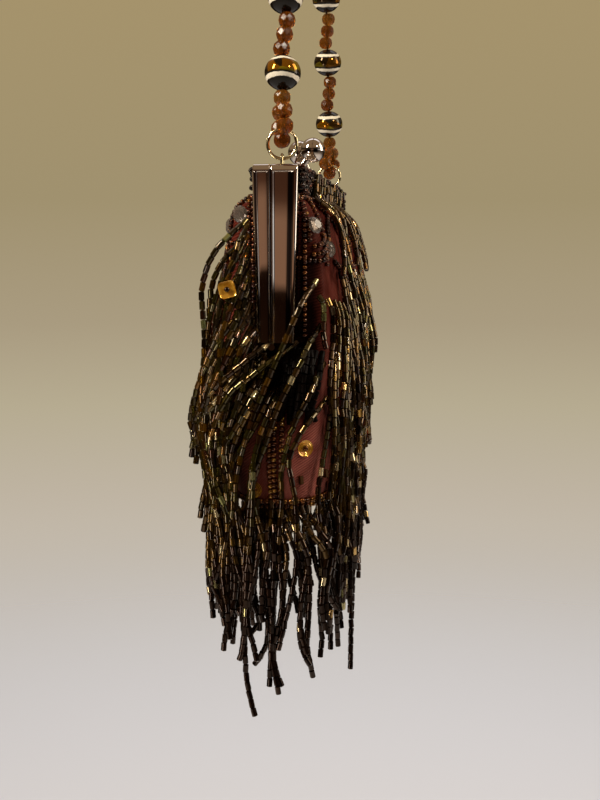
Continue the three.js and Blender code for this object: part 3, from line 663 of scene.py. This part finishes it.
seedLines = []
for face in faces:
    for edge, depth in ((65.5, 8.9), (64.5, 10.3)):  # two rows under the rail of the frame
        seedLines.append([(placeOfX(x, face, depth), depth) for x in np.linspace(-edge, edge, 60)])
    for side in (-1, 1):  # beside the legs: one row to the foot and a short second row
        for edge, last in ((65.25, 56.0), (64.63, 25.0)):
            seedLines.append([(placeOfX(side * edge, face, d), d) for d in np.linspace(9.5, last, 30)])
edgingLines = range(len(seedLines), len(seedLines) + 2)
for depth in (108.8, 110.7):  # edging round the foot
    seedLines.append([(v, depth) for v in np.linspace(-backGirth, frontGirth, 240)])
seamLines = range(len(seedLines), len(seedLines) + 6)
for middle in (0.0, frontGirth):  # side seams
    for v in (-2.3, -0.5, 2.1):
        seedLines.append([(middle + v, d) for d in np.linspace(78, 108.5, 20)])
scrolls = [  # stops of the scrolls near one end, from the end's middle and down
    [(52, 10), (38, 15), (34.5, 23.5), (26.5, 28.5), (18, 31), (14.5, 29.5)],
    [(36, 12), (44, 19), (53, 22), (60, 17)], [(22, 11), (25, 17), (25.5, 25), (23, 32)],
    [(62, 12), (68, 22), (78, 28)], [(36, 31), (42, 34), (52, 38)], [(70, 13), (76, 20), (84, 24), (92, 21)],
    [(56, 27), (66, 32), (76, 33), (86, 30)], [(84, 11), (90, 17), (93.5, 26)],
    [(33, 24), (25.5, 26.5), (17, 28.6)], [(30, 22.3), (24, 24.2), (17, 26)],
    [(26, 92), (33, 95), (38, 101)], [(44, 98), (54, 92), (64, 99)]]
for scroll in scrolls:
    away, depth = np.array(scroll, float).T
    seedLines += [np.stack([v, depth], -1) for v in (away, -away, frontGirth - away, frontGirth + away)]

at, axes, gilt = [], [], []  # gilt is 1 for the larger golden seeds of the edging, below 0 for darker ones
for number, line in enumerate(seedLines):
    edging = number in edgingLines
    a, d = alongPath(skinLine(line), seed["pitch"] * (seed["large"] if edging else 1.0))
    at.append(a)
    axes.append(d)
    gilt.append(np.full(len(a), 1.0 if edging else 0.6 if number in seamLines else 0.0))
for side in (-1, 1):  # rows sewn loosely over the flange of the rail
    for depth in railSeeds["rows"]:
        y, reach = side * (halfThick(depth) + seed["raise"]), railSeeds["reach"]
        a, d = alongPath([(-reach, y, -depth), (reach, y, -depth)], seed["large"] * seed["pitch"],
                         start=dice.uniform(0, 1))
        at.append(a + dice.normal(0, railSeeds["off"], a.shape) * [1, 0.4, 1])
        axes.append(d + dice.normal(0, railSeeds["lean"], d.shape))
        gilt.append(np.full(len(a), -1.0))

# pressed gold film: thin bright cups, a little see-through, mottled every 2 mm
goldSequin = tinted("goldSequin", 500.0, [(0.35, "#b87a1a"), (0.65, "#e0a93a")], {
    "Metallic": 0.45, "Roughness": 0.2, "Transmission Weight": 0.2, "Coat Weight": 0.5,
    "Coat Roughness": 0.04})
sequins = {"radius": 2.75, "cup": 0.5, "sheet": 0.14, "raise": 0.35, "seedRaise": 0.9}
squareSequin = {"half": 2.7, "sheet": 0.3, "spin": 0.25, "at": (-80.0, 14.6, -39.8),
                "out": (-1.0, -0.1, 0.12)}
sequinStops = np.array([  # place round, depth
    (44, 17), (70, 25), (50, 38), (10, 91.3), (37, 97), (58, 96), (-8.9, 105.3), (-36, 18), (-58, 26),
    (-30, 98), (-52, 95)])
sequinStops = np.concatenate([sequinStops, sequinStops + [frontGirth, 0]])
sequinAt, sequinOut = pouchSkin(turnAt(sequinStops[:, 0]), sequinStops[:, 1])
rise = np.array([(0.17, 0.0), (0.36, 0.45), (0.5, 0.1), (0.7, 0.7), (0.82, 0.45), (1.0, 1.0)])  # two rings
rise = rise * [sequins["radius"], sequins["cup"]]
form = latheForm(np.concatenate([rise, rise[::-1] + [0, sequins["sheet"]]]), 16, hollow=True)
points, polys = stamp(form, sequinAt + sequins["raise"] * sequinOut, sequinOut)
r, t, turn = squareSequin["half"], squareSequin["sheet"], fullTurn(32)
wide = 1 / (np.abs(np.cos(turn)) ** 5 + np.abs(np.sin(turn)) ** 5) ** 0.2  # a square with round corners
profile = np.array([(0.22, 0.0), (0.30, 0.0), (0.86, -0.03 * r), (1.0, 0.10 * r), (1.0, 0.10 * r + t),
                    (0.86, t), (0.30, t), (0.22, t)])
form = latheForm(profile * [r, 1], 32, hollow=True, wide=wide)
squareAt, squareOut = (np.array([squareSequin[key], squareSequin[key] * toFarEnd]) for key in ("at", "out"))
squarePoints, squarePolys = stamp(form, squareAt, squareOut, squareSequin["spin"] * np.array([1, -1]))
polys = [np.concatenate([polys[0], squarePolys[0] + len(points)])]
sequinPiece = placeMesh("goldSequins", np.concatenate([points, squarePoints]), polys, goldSequin, sharp=50)
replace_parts(sequinPiece, "pouch")

sequinAt, sequinOut = np.concatenate([sequinAt, squareAt]), np.concatenate([sequinOut, squareOut])
seedAt = np.concatenate([*at, sequinAt + sequins["seedRaise"] * sequinOut])  # a seed holds each sequin
seedAxis = np.concatenate([*axes, sequinOut]) + 1e-6
gilt, n = np.concatenate([*gilt, np.zeros(len(sequinAt))]), len(seedAt)
spins, scales = dice.uniform(0, 6, n), dice.uniform(0.92, 1.06, n) * (1 + 0.15 * np.maximum(gilt, 0))
tints = np.clip(dice.beta(2, 2, n) + 0.4 * gilt, 0, 1)
seedPiece = stampMesh("copperSeeds", seedForm, seedAt, seedAxis, copperSeed, spins, scales,
                      tone={"tint": tints}, sharp=50)
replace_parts(seedPiece, "pouch")

# lead crystal, cut and polished: clear, a little clouded every 8 mm, with sharp facets that throw back single
# bright points
clearCrystal = tinted("clearCrystal", 120.0, [(0.3, "#7a6f67"), (0.7, "#a3988f")],
                      {"Roughness": 0.05, "IOR": 1.65, "Transmission Weight": 0.7})
stone = {"radius": 2.9, "height": 2.5, "raise": 0.3}
stoneStops = [(-63.5, 19.5, 15.5), (-52, 27, 19.0), (52, 27, 19.0), (63.5, 19.5, 15.5)]  # x, depth per face
profile = [(0.5, 0.0), (0.86, 0.22), (1.0, 0.42), (0.97, 0.52), (0.8, 0.8), (0.52, 1.0)]
stoneForm = latheForm(np.array(profile) * [stone["radius"], stone["height"]], 12, cut=True)
for k, face in enumerate(faces):
    for i, (x, *depths) in enumerate(stoneStops):
        at, out = pouchSkin(turnAt(placeOfX(x, face, depths[k])), depths[k])
        gem = stampMesh(f"stone{face.title()}{i + 1}", stoneForm, at[None] + stone["raise"] * out, out[None],
                        clearCrystal, smooth=False)
        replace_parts(gem, f"stone_{face}_{i + 1}")
print("embroidery sewn", len(seedAt), "seeds")


# bead fringe

bugle = {"radius": 0.98, "length": 2.95, "pitch": 3.05, "bevel": 0.2, "worn": 0.4, "bright": 0.05}
fringeRows = {  # faces, sewn depth, clear of each end by, spacing, length, its spread, sweep at the near end
    "topFront": (["front"], 1.6, 30, 6.5, 44, 14, 0),
    "topBack": (["back"], 13.0, 60, 10.0, 60, 12, 0),
    "upperFront": (["front"], 34.5, 36, 5.2, 60, 12, 0),
    "upperBack": (["back"], 26.0, 48, 4.6, 64, 12, 8),
    "secondFront": (["front"], 45.0, 25, 4.8, 62, 14, 10),
    "secondBack": (["back"], 44.0, 36, 4.8, 62, 14, 6),
    "middle": (faces, 60.5, 0, 4.7, 78, 14, 20),
    "fourth": (faces, 82.0, 0, 5.4, 64, 10, 8),
    "lower": (faces, 109.5, 0, 5.4, 48, 14, 2)}
rowDepths = np.array([row[1] for row in fringeRows.values()])
upperRows = 60  # mm, rows sewn above this depth belong to the upper tiers
clothRows = 100  # mm, rows sewn above this depth lie on the cloth, a deeper one hangs from the foot
bareEnd = (1.0, 23.0)  # no strands are sewn to the cloth here, so that it shows
lockWidth = 8.5  # mm, of the locks that the strands are drawn into

# cut glass bugles with a fired bronze lustre: dark metal that flashes gold, green and plum on single facets
bronzeBugle, tree, body = newMaterial("bronzeBugle", {
    "Metallic": 0.85, "Roughness": 0.14, "Coat IOR": 1.55, "Coat Tint": linear("#f2dca6"),
    "Coat Roughness": 0.04})
tint = addNode(tree, "Attribute", attribute_name="tint").outputs["Fac"]
# the stops from 0.95 up are near white: painted glints for the few bugles picked by the glint share
lustre = addNode(tree, "ValToRGB", {"Fac": tint}, stops=[
    (0.0, "#150c08"), (0.22, "#301d13"), (0.40, "#66521c"), (0.52, "#281911"), (0.64, "#52501f"),
    (0.76, "#332c26"), (0.86, "#866418"), (0.93, "#42221a"), (0.95, "#9db07a"), (0.965, "#f0f0ec"),
    (0.985, "#f0ece4"), (1.0, "#d8b458")])
tree.links.new(lustre.outputs[0], body.inputs["Base Color"])
fired = addNode(tree, "MapRange", {  # dark bugles gleam less
    "Value": tint, "From Min": 0.05, "From Max": 0.35, "To Min": 0.25, "To Max": 0.8})
tree.links.new(fired.outputs[0], body.inputs["Coat Weight"])
# near-black dull bugles for the strands in the fold below the hinge: painted shade of the fold
foldShadeBugle = tinted("foldShadeBugle", "tint", [(0.0, "#040202"), (1.0, "#0e0806")],
                  {"Roughness": 0.35, "Specular IOR Level": 0.05})


def drape(round, depth, sewn, lift):
    # a strand lies on the cloth to its fullest level, then drops straight, held off by lift along the
    # superellipse's slope
    angle = turnAt(round)
    length = tableAt(np.maximum(sewn, np.minimum(depth, pouch["longest"])))[0]
    _, front, back, _, fold, _ = tableAt(np.maximum(sewn, np.minimum(depth, pouch["thickest"])))
    square = tableAt(np.clip(depth, 23, pouch["thickest"]))[3]  # above 23 mm strands keep their place
    s = np.sin(angle)
    thick = np.where(s < 0, front, back)
    x, y = rounded(np.cos(angle), length, square), rounded(s, thick, square)
    gx = np.sign(x) * np.abs(x / length) ** (square - 1) / length
    gy = np.sign(y) * np.abs(y / thick) ** (square - 1) / thick
    size = np.hypot(gx, gy) + 1e-12
    lift = lift + fold * np.abs(s) * 0.8
    x, y = x + lift * gx / size, y + lift * gy / size
    # over the rail and in front of a leg of the frame the strand is pushed clear of the metal and its seeds
    thin, clear = halfThick(depth), frameShell["length"] / 2 + 1.3
    near = fades(depth, 59, 0.8) * fades(np.abs(y), thin + 1.2, 0.5) * fades(66, np.abs(x), 0.8)
    rail = fades(depth, 10, 0.8) * (np.abs(y) > 1)
    y = y + rail * np.sign(y) * np.maximum(thin + 2.2 - np.abs(y), 0)
    x = np.where(np.abs(x) < clear, x + near * (np.sign(x) * clear - x), x)
    return np.stack([x, y, -depth], -1)


def eased(lines):
    # each strand's kinks are spread over its neighbours along the strand, in shares of 1, 4, 6, 4 and 1
    held = np.concatenate([lines[:, :1], lines[:, :1], lines, lines[:, -1:], lines[:, -1:]], 1)
    return (held[:, :-4] + 4 * held[:, 1:-3] + 6 * held[:, 2:-2] + 4 * held[:, 3:-1] + held[:, 4:]) / 16


def each(low, high, strands):
    # one even random value for each strand, as a column
    return dice.uniform(low, high, (strands, 1))


def spread(width, strands):
    # one bell-shaped random value for each strand, as a column
    return dice.normal(0, width, (strands, 1))


def waves(depth, short, long):
    # a sine down each strand, with its own length and start
    return np.sin(depth / each(short, long, len(depth)) + each(0, 6, len(depth)))


def strandLines(row, face):
    # one line of points for each strand: sewn place, swept aside at the near end, swaying where it hangs
    # free, and drawn into locks as it falls
    _, rowDepth, clear, spacing, length, scatter, sweep = row
    girth, side = (frontGirth, 1) if face == "front" else (backGirth, -1)
    sewnGirth = girth - 2 * clear
    n = max(int(sewnGirth / spacing), 1)
    place = side * (clear + (np.arange(n) + dice.uniform(0.2, 0.8, n)) / n * sewnGirth)
    if rowDepth < clothRows:
        place = place[(place < bareEnd[0]) | (place > bareEnd[1])]
    n, place = len(place), place[:, None]
    t = np.linspace(0, 1, 60)[None]
    sewn = rowDepth + each(-1.5, 1.5, n)
    reach = length + scatter * each(-1, 1, n)
    if rowDepth < clothRows:  # strands grow shorter towards the middle of the back and all along the front
        fromEnd = np.abs(place) if face == "front" else np.minimum(np.abs(place), girth - np.abs(place))
        share = 0.62 if face == "front" and rowDepth > 50 else 0.4
        reach = reach * (1 - share * np.clip((fromEnd - 30) / 40, 0, 1))
    depth = sewn + reach * t
    drop = depth - sewn
    passed = (fades(rowDepths + 3, depth[..., None], 2.0) * (rowDepths > rowDepth + 3)).sum(-1)
    ripple = 1 + waves(depth, 4, 10)
    lift = 1.1 + 0.75 * passed + each(0, 1.2, n) * ripple * np.minimum(t * 3, 1)
    lift = lift * np.minimum(0.45 + t * 6, 1)
    nearEnd = np.exp(-((place - 5) / 24) ** 2)
    swept = -sweep * nearEnd * (1 - np.exp(-(drop / 26) ** 2)) * each(0.6, 1.25, n)
    drift = spread(2.4, n) * t ** 1.3 + spread(3.5, n) * t ** 6
    lift = lift + each(0, 3.5, n) ** 2 / 3.5 * np.sin(np.pi * np.minimum(t * 1.3, 1)) * nearEnd
    sway = each(0.4, 2.2, n) * np.sin(2 * np.pi * t * each(0.6, 1.6, n) + each(0, 6, n))
    lock = lockWidth * (np.floor(place / lockWidth) + each(0.3, 0.7, n))
    gathered = 0.5 * (lock - place) * np.clip(drop / 50, 0, 1) ** 1.5
    kink = each(0.1, 0.9, n) * waves(depth, 2.5, 5)
    place = place + swept + drift + sway * t + gathered + kink * np.minimum(t * 5, 1)
    return eased(drape(place, depth, sewn, lift))


# fans at the near end: number of strands; for the first and the last strand the start and the turn as
# (y, depth), then y of the hang and depth of the tip; bow of the path out; curl of the tips
endFans = [
    (2, ((9.3, 18), (9.2, 23)), ((24, 46), (23.5, 54)), ((23, 108), (21, 140)), 2.0, 0.0),
    (6, ((9.3, 19), (8.4, 36)), ((21, 60), (15, 68)), ((22, 118), (18, 150)), 1.1, 0.0),
    (10, ((8.8, 30), (7.6, 55)), ((28, 78), (16, 92)), ((22.5, 140), (13, 160)), 1.1, 0.0),
    (5, ((9, 40), (-7, 57)), ((30, 84), (27, 88)), ((31, 92), (27, 98)), 1.3, 0.0),
    (9, ((6, 59), (-3, 72)), ((25, 84), (8, 100)), ((22, 128), (7, 160)), 1.2, 0.0),
    (4, ((-13, 40), (-16, 78)), ((13, 106), (-7, 98)), ((8, 177), (-10, 160)), 1.0, -3.0),
    (10, ((7, 112), (-8, 112)), ((9, 126), (-18, 126)), ((9, 164), (-17, 158)), 1.3, 0.0)]
foldFan = (10, ((-1, 58), (-14, 60)), ((-3, 70), (-12, 72)), ((-1, 84), (-13, 85)), 1.0, 0.0)
footFan = (10, ((10, 111.5), (-12, 111.5)), ((11, 124), (-16, 124)), ((12, 150), (-18, 145)), 1.2, 0.0)
frontFan = {"strands": 9, "start": ((14, 42), (56, 47)), "hang": ((17, 88), (44, 160)), "wander": 4.0}
endCurtain = {"x": -77.2, "middle": 1.5, "backSpan": 32.0, "frontSpan": 27.0, "bend": 16.0}


def between(pair, share):
    # values between the first and the last strand of a fan
    first, last = np.array(pair, float)
    return first + (last - first) * share[:, None]


def endFanLines(fan, behind=0.0):
    # from a stitch in the cloth each strand bows out to its turn, then falls on a curtain that curves away
    # to both sides with the fourth power; behind sets the curtain back towards the cloth
    n, *stops, bow, curl = fan
    c = endCurtain
    share = (np.arange(n) + dice.uniform(-0.3, 0.3, n)) / (n - 1)
    start, turn, hang = (between(pair, share) for pair in stops)
    turn = turn + dice.normal(0, 1.3, turn.shape)
    tip = hang[:, 1] + dice.normal(0, 5, n) * (hang[:, 1] > 120)
    depth = start[:, 1:] + (tip - start[:, 1])[:, None] * np.linspace(0, 1, 90)
    drop = depth - start[:, 1:]
    out = np.clip(drop / (turn[:, 1] - start[:, 1])[:, None], 0, 1)
    y = start[:, :1] + (turn[:, :1] - start[:, :1]) * (1 - (1 - out) ** (bow * each(0.75, 1.35, n)))
    y = y + (hang[:, :1] - turn[:, :1]) * smoothStep((depth - turn[:, 1:]) / 30)
    wave = each(0.2, 1.2, n) * waves(depth, 4, 10)
    y = y + wave * np.minimum(drop / 12, 1) + spread(2.0, n) * np.clip((depth - 118) / 50, 0, 1)
    y = y + (curl + spread(2.2, n)) * np.clip((depth - tip[:, None] + 20) / 20, 0, 1) ** 2  # tips bend aside
    span = np.where(y > c["middle"], c["backSpan"], c["frontSpan"])
    x = c["x"] + behind - each(0, 2.0, n) + c["bend"] * (np.abs(y - c["middle"]) / span) ** 4
    length, front, back, square, _, _ = tableAt(start[:, 1])
    side = np.minimum(np.abs(start[:, 0]) / np.where(start[:, 0] < 0, front, back), 0.98)
    sewn = gussetTuck(start[:, 0], start[:, 1]) - length * (1 - side ** square) ** (1 / square) - 1.0
    x = x + (sewn - x[:, 0])[:, None] * np.exp(-(drop / 5) ** 2)
    return eased(np.stack([x, y, -depth], -1))


def frontFanLines(fan):
    # strands beside the end that wander in a slow wave before they hang
    n = fan["strands"]
    start, hang = (between(fan[key], np.arange(n) / (n - 1)) for key in ("start", "hang"))
    t = np.linspace(0, 1, 90)[None]
    depth = start[:, 1:] + (hang[:, 1:] - start[:, 1:] + spread(8, n)) * t
    wave = fan["wander"] * waves(depth, 7, 10) * t * (1 - t) * 2
    round = start[:, :1] + (hang[:, :1] - start[:, :1]) * t + wave
    lift = 2.4 * np.minimum(0.4 + 8 * t, 1) + each(0, 1.2, n) * t
    return eased(drape(round, depth, start[:, 1:], lift))


r, h, b = bugle["radius"], bugle["length"] / 2, bugle["bevel"]
bugleForm = latheForm([(0.66 * r, -h), (r, b - h), (r, h - b), (0.66 * r, h)], 7)


def bugleMesh(name, lines, node, material=bronzeBugle):
    # bugles at an even pitch along every line, each turned at random and a hair out of line; half of the tint
    # is the strand's and half the bugle's own, painted shade darkens it towards the tips of the fringe, and a
    # few bugles get near-white colours as painted glints
    half = bugle["length"] / 2
    at, axes = zip(*[alongPath(line, bugle["pitch"], start=half, end=half) for line in lines])
    strandOf = np.repeat(np.arange(len(lines)), [len(a) for a in at])
    at, axes = np.concatenate(at), np.concatenate(axes)
    axes = axes / np.linalg.norm(axes, axis=1, keepdims=True) + dice.normal(0, 0.06, axes.shape)
    spins = dice.uniform(0, 6.3, len(at))
    strandTint = dice.uniform(0, 1, len(lines))[strandOf]
    ownTint = dice.uniform(0, 1, len(at))
    tints = np.minimum(0.5 * strandTint + 0.5 * ownTint, 0.93)
    # painted shade: below 100 mm the tint falls towards the dark end of the ramp, to a quarter by 135 mm
    tints = tints * (1 - 0.75 * np.clip((-at[:, 2] - 100) / 35, 0, 1))
    tints = np.where(ownTint < bugle["bright"], 1 - 0.05 * strandTint, tints)  # painted glints: a few bugles get the near-white top of the ramp
    worn = dice.uniform(0, 1, len(at)) < bugle["worn"]  # worn bugles have round edges, the others flat facets
    smooth = np.concatenate([np.repeat(worn, len(p)) for p in bugleForm[1]])
    piece = stampMesh(name, bugleForm, at, axes, material, spins, tone={"tint": tints}, smooth=smooth,
                      sharp=54)
    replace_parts(piece, node)
    print(name, len(lines), "strands", len(at), "bugles")


for face in faces:
    lines = [line for row in fringeRows.values() if face in row[0] and row[1] < upperRows
             for line in strandLines(row, face)]
    bugleMesh(f"fringeUpper{face.title()}", lines, f"fringe_upper_{face}")
for key, node in (("middle", "fringe_middle"), ("fourth", "fringe_middle"), ("lower", "fringe_lower")):
    lines = [line for face in faces for line in strandLines(fringeRows[key], face)]
    bugleMesh(f"fringe{key.title()}", lines, node)
lines = np.concatenate([endFanLines(fan) for fan in endFans])
bugleMesh("fringeEnd", np.concatenate([lines, frontFanLines(frontFan)]), "fringe_middle")
bugleMesh("fringeEndFar", lines * toFarEnd, "fringe_middle")
# the fold strands are coloured near black as painted shade
lines = endFanLines(foldFan, behind=5.0)
bugleMesh("fringeFold", np.concatenate([lines, lines * toFarEnd]), "fringe_middle", foldShadeBugle)
lines = endFanLines(footFan, behind=6.0)
bugleMesh("fringeFoot", np.concatenate([lines, lines * toFarEnd]), "fringe_lower")

studs = np.array([(9.1, 101.7), (20.9, 101.1), (24.6, 106.0), (6.0, 84.0)])  # single bugles: place, depth
studs = np.concatenate([studs, [frontGirth, 0] + studs * [-1, 1]])
studAt, studOut = pouchSkin(turnAt(studs[:, 0]), studs[:, 1])
studPiece = stampMesh("bugleStuds", bugleForm, studAt + bugle["radius"] * studOut,
                      np.tile([0.15, 0.1, 1.0], (len(studs), 1)), bronzeBugle, smooth=False,
                      tone={"tint": np.full(len(studs), 0.9)})
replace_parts(studPiece, "pouch")


# stage, light and camera

stage = {"floor": -0.75, "radius": 3.0, "fade": 2.0, "sides": 96}
# matt paper floor, fading into the room at its rim: no gleam and no edge
paperFloor, tree, body = newMaterial("paperFloor", {"Base Color": linear("#d4d8e0"), "Roughness": 0.9})
place = addNode(tree, "TexCoord").outputs["Object"]
shrink = addNode(tree, "Mapping", {
    "Vector": place, "Location": (0, 0, -stage["floor"] / stage["fade"]), "Scale": (1 / stage["fade"],) * 3})
fade = addNode(tree, "TexGradient", {"Vector": shrink.outputs[0]}, gradient_type="SPHERICAL")
shown = addNode(tree, "MapRange", {"Value": fade.outputs["Fac"], "From Max": 0.8},
                interpolation_type="SMOOTHSTEP")
tree.links.new(shown.outputs[0], body.inputs["Alpha"])
turn = fullTurn(stage["sides"])
rim = stage["radius"] * np.stack([np.cos(turn), np.sin(turn), 0 * turn], -1) + [0, 0, stage["floor"]]
floorMesh = bpy.data.meshes.new("floor")
floorMesh.from_pydata(rim.tolist(), [], [list(range(stage["sides"]))])
floorMesh.materials.append(paperFloor)
floor = newObject("floor", floorMesh)

# soft room: plain beige to the eye; what the metal mirrors is dim round the camera and bright to both sides
world = bpy.data.worlds.new("softRoom")
bpy.context.scene.world = world
world.use_nodes = True
tree = world.node_tree
tree.nodes.clear()
place = addNode(tree, "TexCoord").outputs["Generated"]
way = addNode(tree, "SeparateXYZ", {"Vector": place}).outputs
level = addNode(tree, "MapRange", {"Value": way["Z"], "From Min": -0.45, "From Max": 0.25})
backdrop = addNode(tree, "ValToRGB", {"Fac": level.outputs[0]}, stops=[
    (0.0, "#d9d8d8"), (0.12, "#cecac5"), (0.24, "#c7bfb4"), (0.36, "#bfb4a3"), (0.47, "#b6ab91"),
    (0.57, "#a99b80"), (0.72, "#a0916f"), (1.0, "#a6936b")])
behind = addNode(tree, "Math", {0: way["X"], 1: -1.0}, operation="MULTIPLY")
bearing = addNode(tree, "Math", {0: way["Y"], 1: behind.outputs[0]}, operation="ARCTAN2")
# round the room from straight ahead, by the right, behind the camera and the left
compass = addNode(tree, "MapRange", {"Value": bearing.outputs[0], "From Min": -math.pi, "From Max": math.pi})
walls = addNode(tree, "ValToRGB", {"Fac": compass.outputs[0]}, stops=[
    (0.0, "#5e5442"), (0.12, "#746b58"), (0.20, "#ffffff"), (0.30, "#ffffff"), (0.37, "#120d0b"),
    (0.462, "#15100d"), (0.482, "#8f6b53"), (0.528, "#8f6b53"), (0.548, "#1a1310"), (0.63, "#1d1613"),
    (0.72, "#6a5240"), (0.82, "#a08a68"), (0.92, "#5e5442"), (1.0, "#5e5442")])
# from straight down to straight up, with a bright band just above the level
tilt = addNode(tree, "MapRange", {"Value": way["Z"], "From Min": -1.0, "From Max": 1.0})
rise = addNode(tree, "ValToRGB", {"Fac": tilt.outputs[0]}, stops=[
    (0.0, "#8a7c6e"), (0.30, "#6e6256"), (0.496, "#30261f"), (0.4995, "#ffffff"), (0.528, "#ffffff"),
    (0.536, "#8e7c74"), (0.60, "#43464a"), (0.70, "#ffffff"), (1.0, "#ffffff")])
mirrored = addNode(tree, "Mix", {"Factor": 1.0, "A": walls.outputs[0], "B": rise.outputs[0]},
                   data_type="RGBA", blend_type="MULTIPLY")
upward = addNode(tree, "MapRange", {"Value": way["Z"], "From Min": 0.15, "From Max": 0.5},
                 interpolation_type="SMOOTHSTEP")
roofed = addNode(tree, "Mix", {"Factor": upward.outputs[0], "A": mirrored.outputs["Result"],
                               "B": linear("#8a7256")}, data_type="RGBA")
eye = addNode(tree, "LightPath").outputs["Is Camera Ray"]
shownRoom = addNode(tree, "Mix", {"Factor": eye, "A": roofed.outputs["Result"], "B": backdrop.outputs[0]},
                    data_type="RGBA")
sky = addNode(tree, "Background", {"Color": shownRoom.outputs["Result"], "Strength": 1.0})
addNode(tree, "OutputWorld", {"Surface": sky.outputs[0]})
bpy.context.scene.view_settings.view_transform = "Standard"


def softbox(name, place, size, power, colour, target=(0, 0, -0.25), spread=180):
    # a lamp of width and height size, in metres, turned from its place to the target, the bag's middle
    lamp = bpy.data.lights.new(name, "AREA")
    lamp.spread = math.radians(spread)
    lamp.shape, lamp.size, lamp.size_y = "RECTANGLE", size[0], size[1]
    lamp.energy, lamp.color = power, linear(colour)[:3]
    newObject(name, lamp, place, Vector(target) - Vector(place))


softbox("windowRight", (0.1, -0.9, 0.15), (0.35, 0.8), 4.8, "#ffecd0")
softbox("windowLeft", (-0.5, 0.65, 0.3), (0.12, 0.4), 10, "#fff2dc")
softbox("lowLeft", (-0.6, 0.45, -0.45), (0.1, 0.15), 0.55, "#ffeedc")
softbox("glint", (-0.45, -0.55, 0.25), (0.05, 0.08), 1.7, "#fff6e8")
softbox("floorWash", (1.1, 0.0, 0.7), (1.6, 2.4), 8.5, "#f2f5fc", target=(1.1, 0.0, -1.0), spread=100)

view = {"place": (-0.4396, -0.0554, bagTop * mm - 0.0314), "yaw": 7.65, "pitch": -6.81,
        "focalPixels": 1145.7, "rows": 800, "sensor": 24.0}
lens = bpy.data.cameras.new("photoCamera")
lens.sensor_fit = "VERTICAL"
lens.sensor_height = view["sensor"]
lens.lens = view["sensor"] * view["focalPixels"] / view["rows"]
lens.clip_start = 0.01
yaw, pitch = math.radians(view["yaw"]), math.radians(view["pitch"])
ahead = Vector((math.cos(pitch) * math.cos(yaw), math.cos(pitch) * math.sin(yaw), math.sin(pitch)))
bpy.context.scene.camera = newObject("photoCamera", lens, view["place"], ahead)
print("stage, lights and camera set")
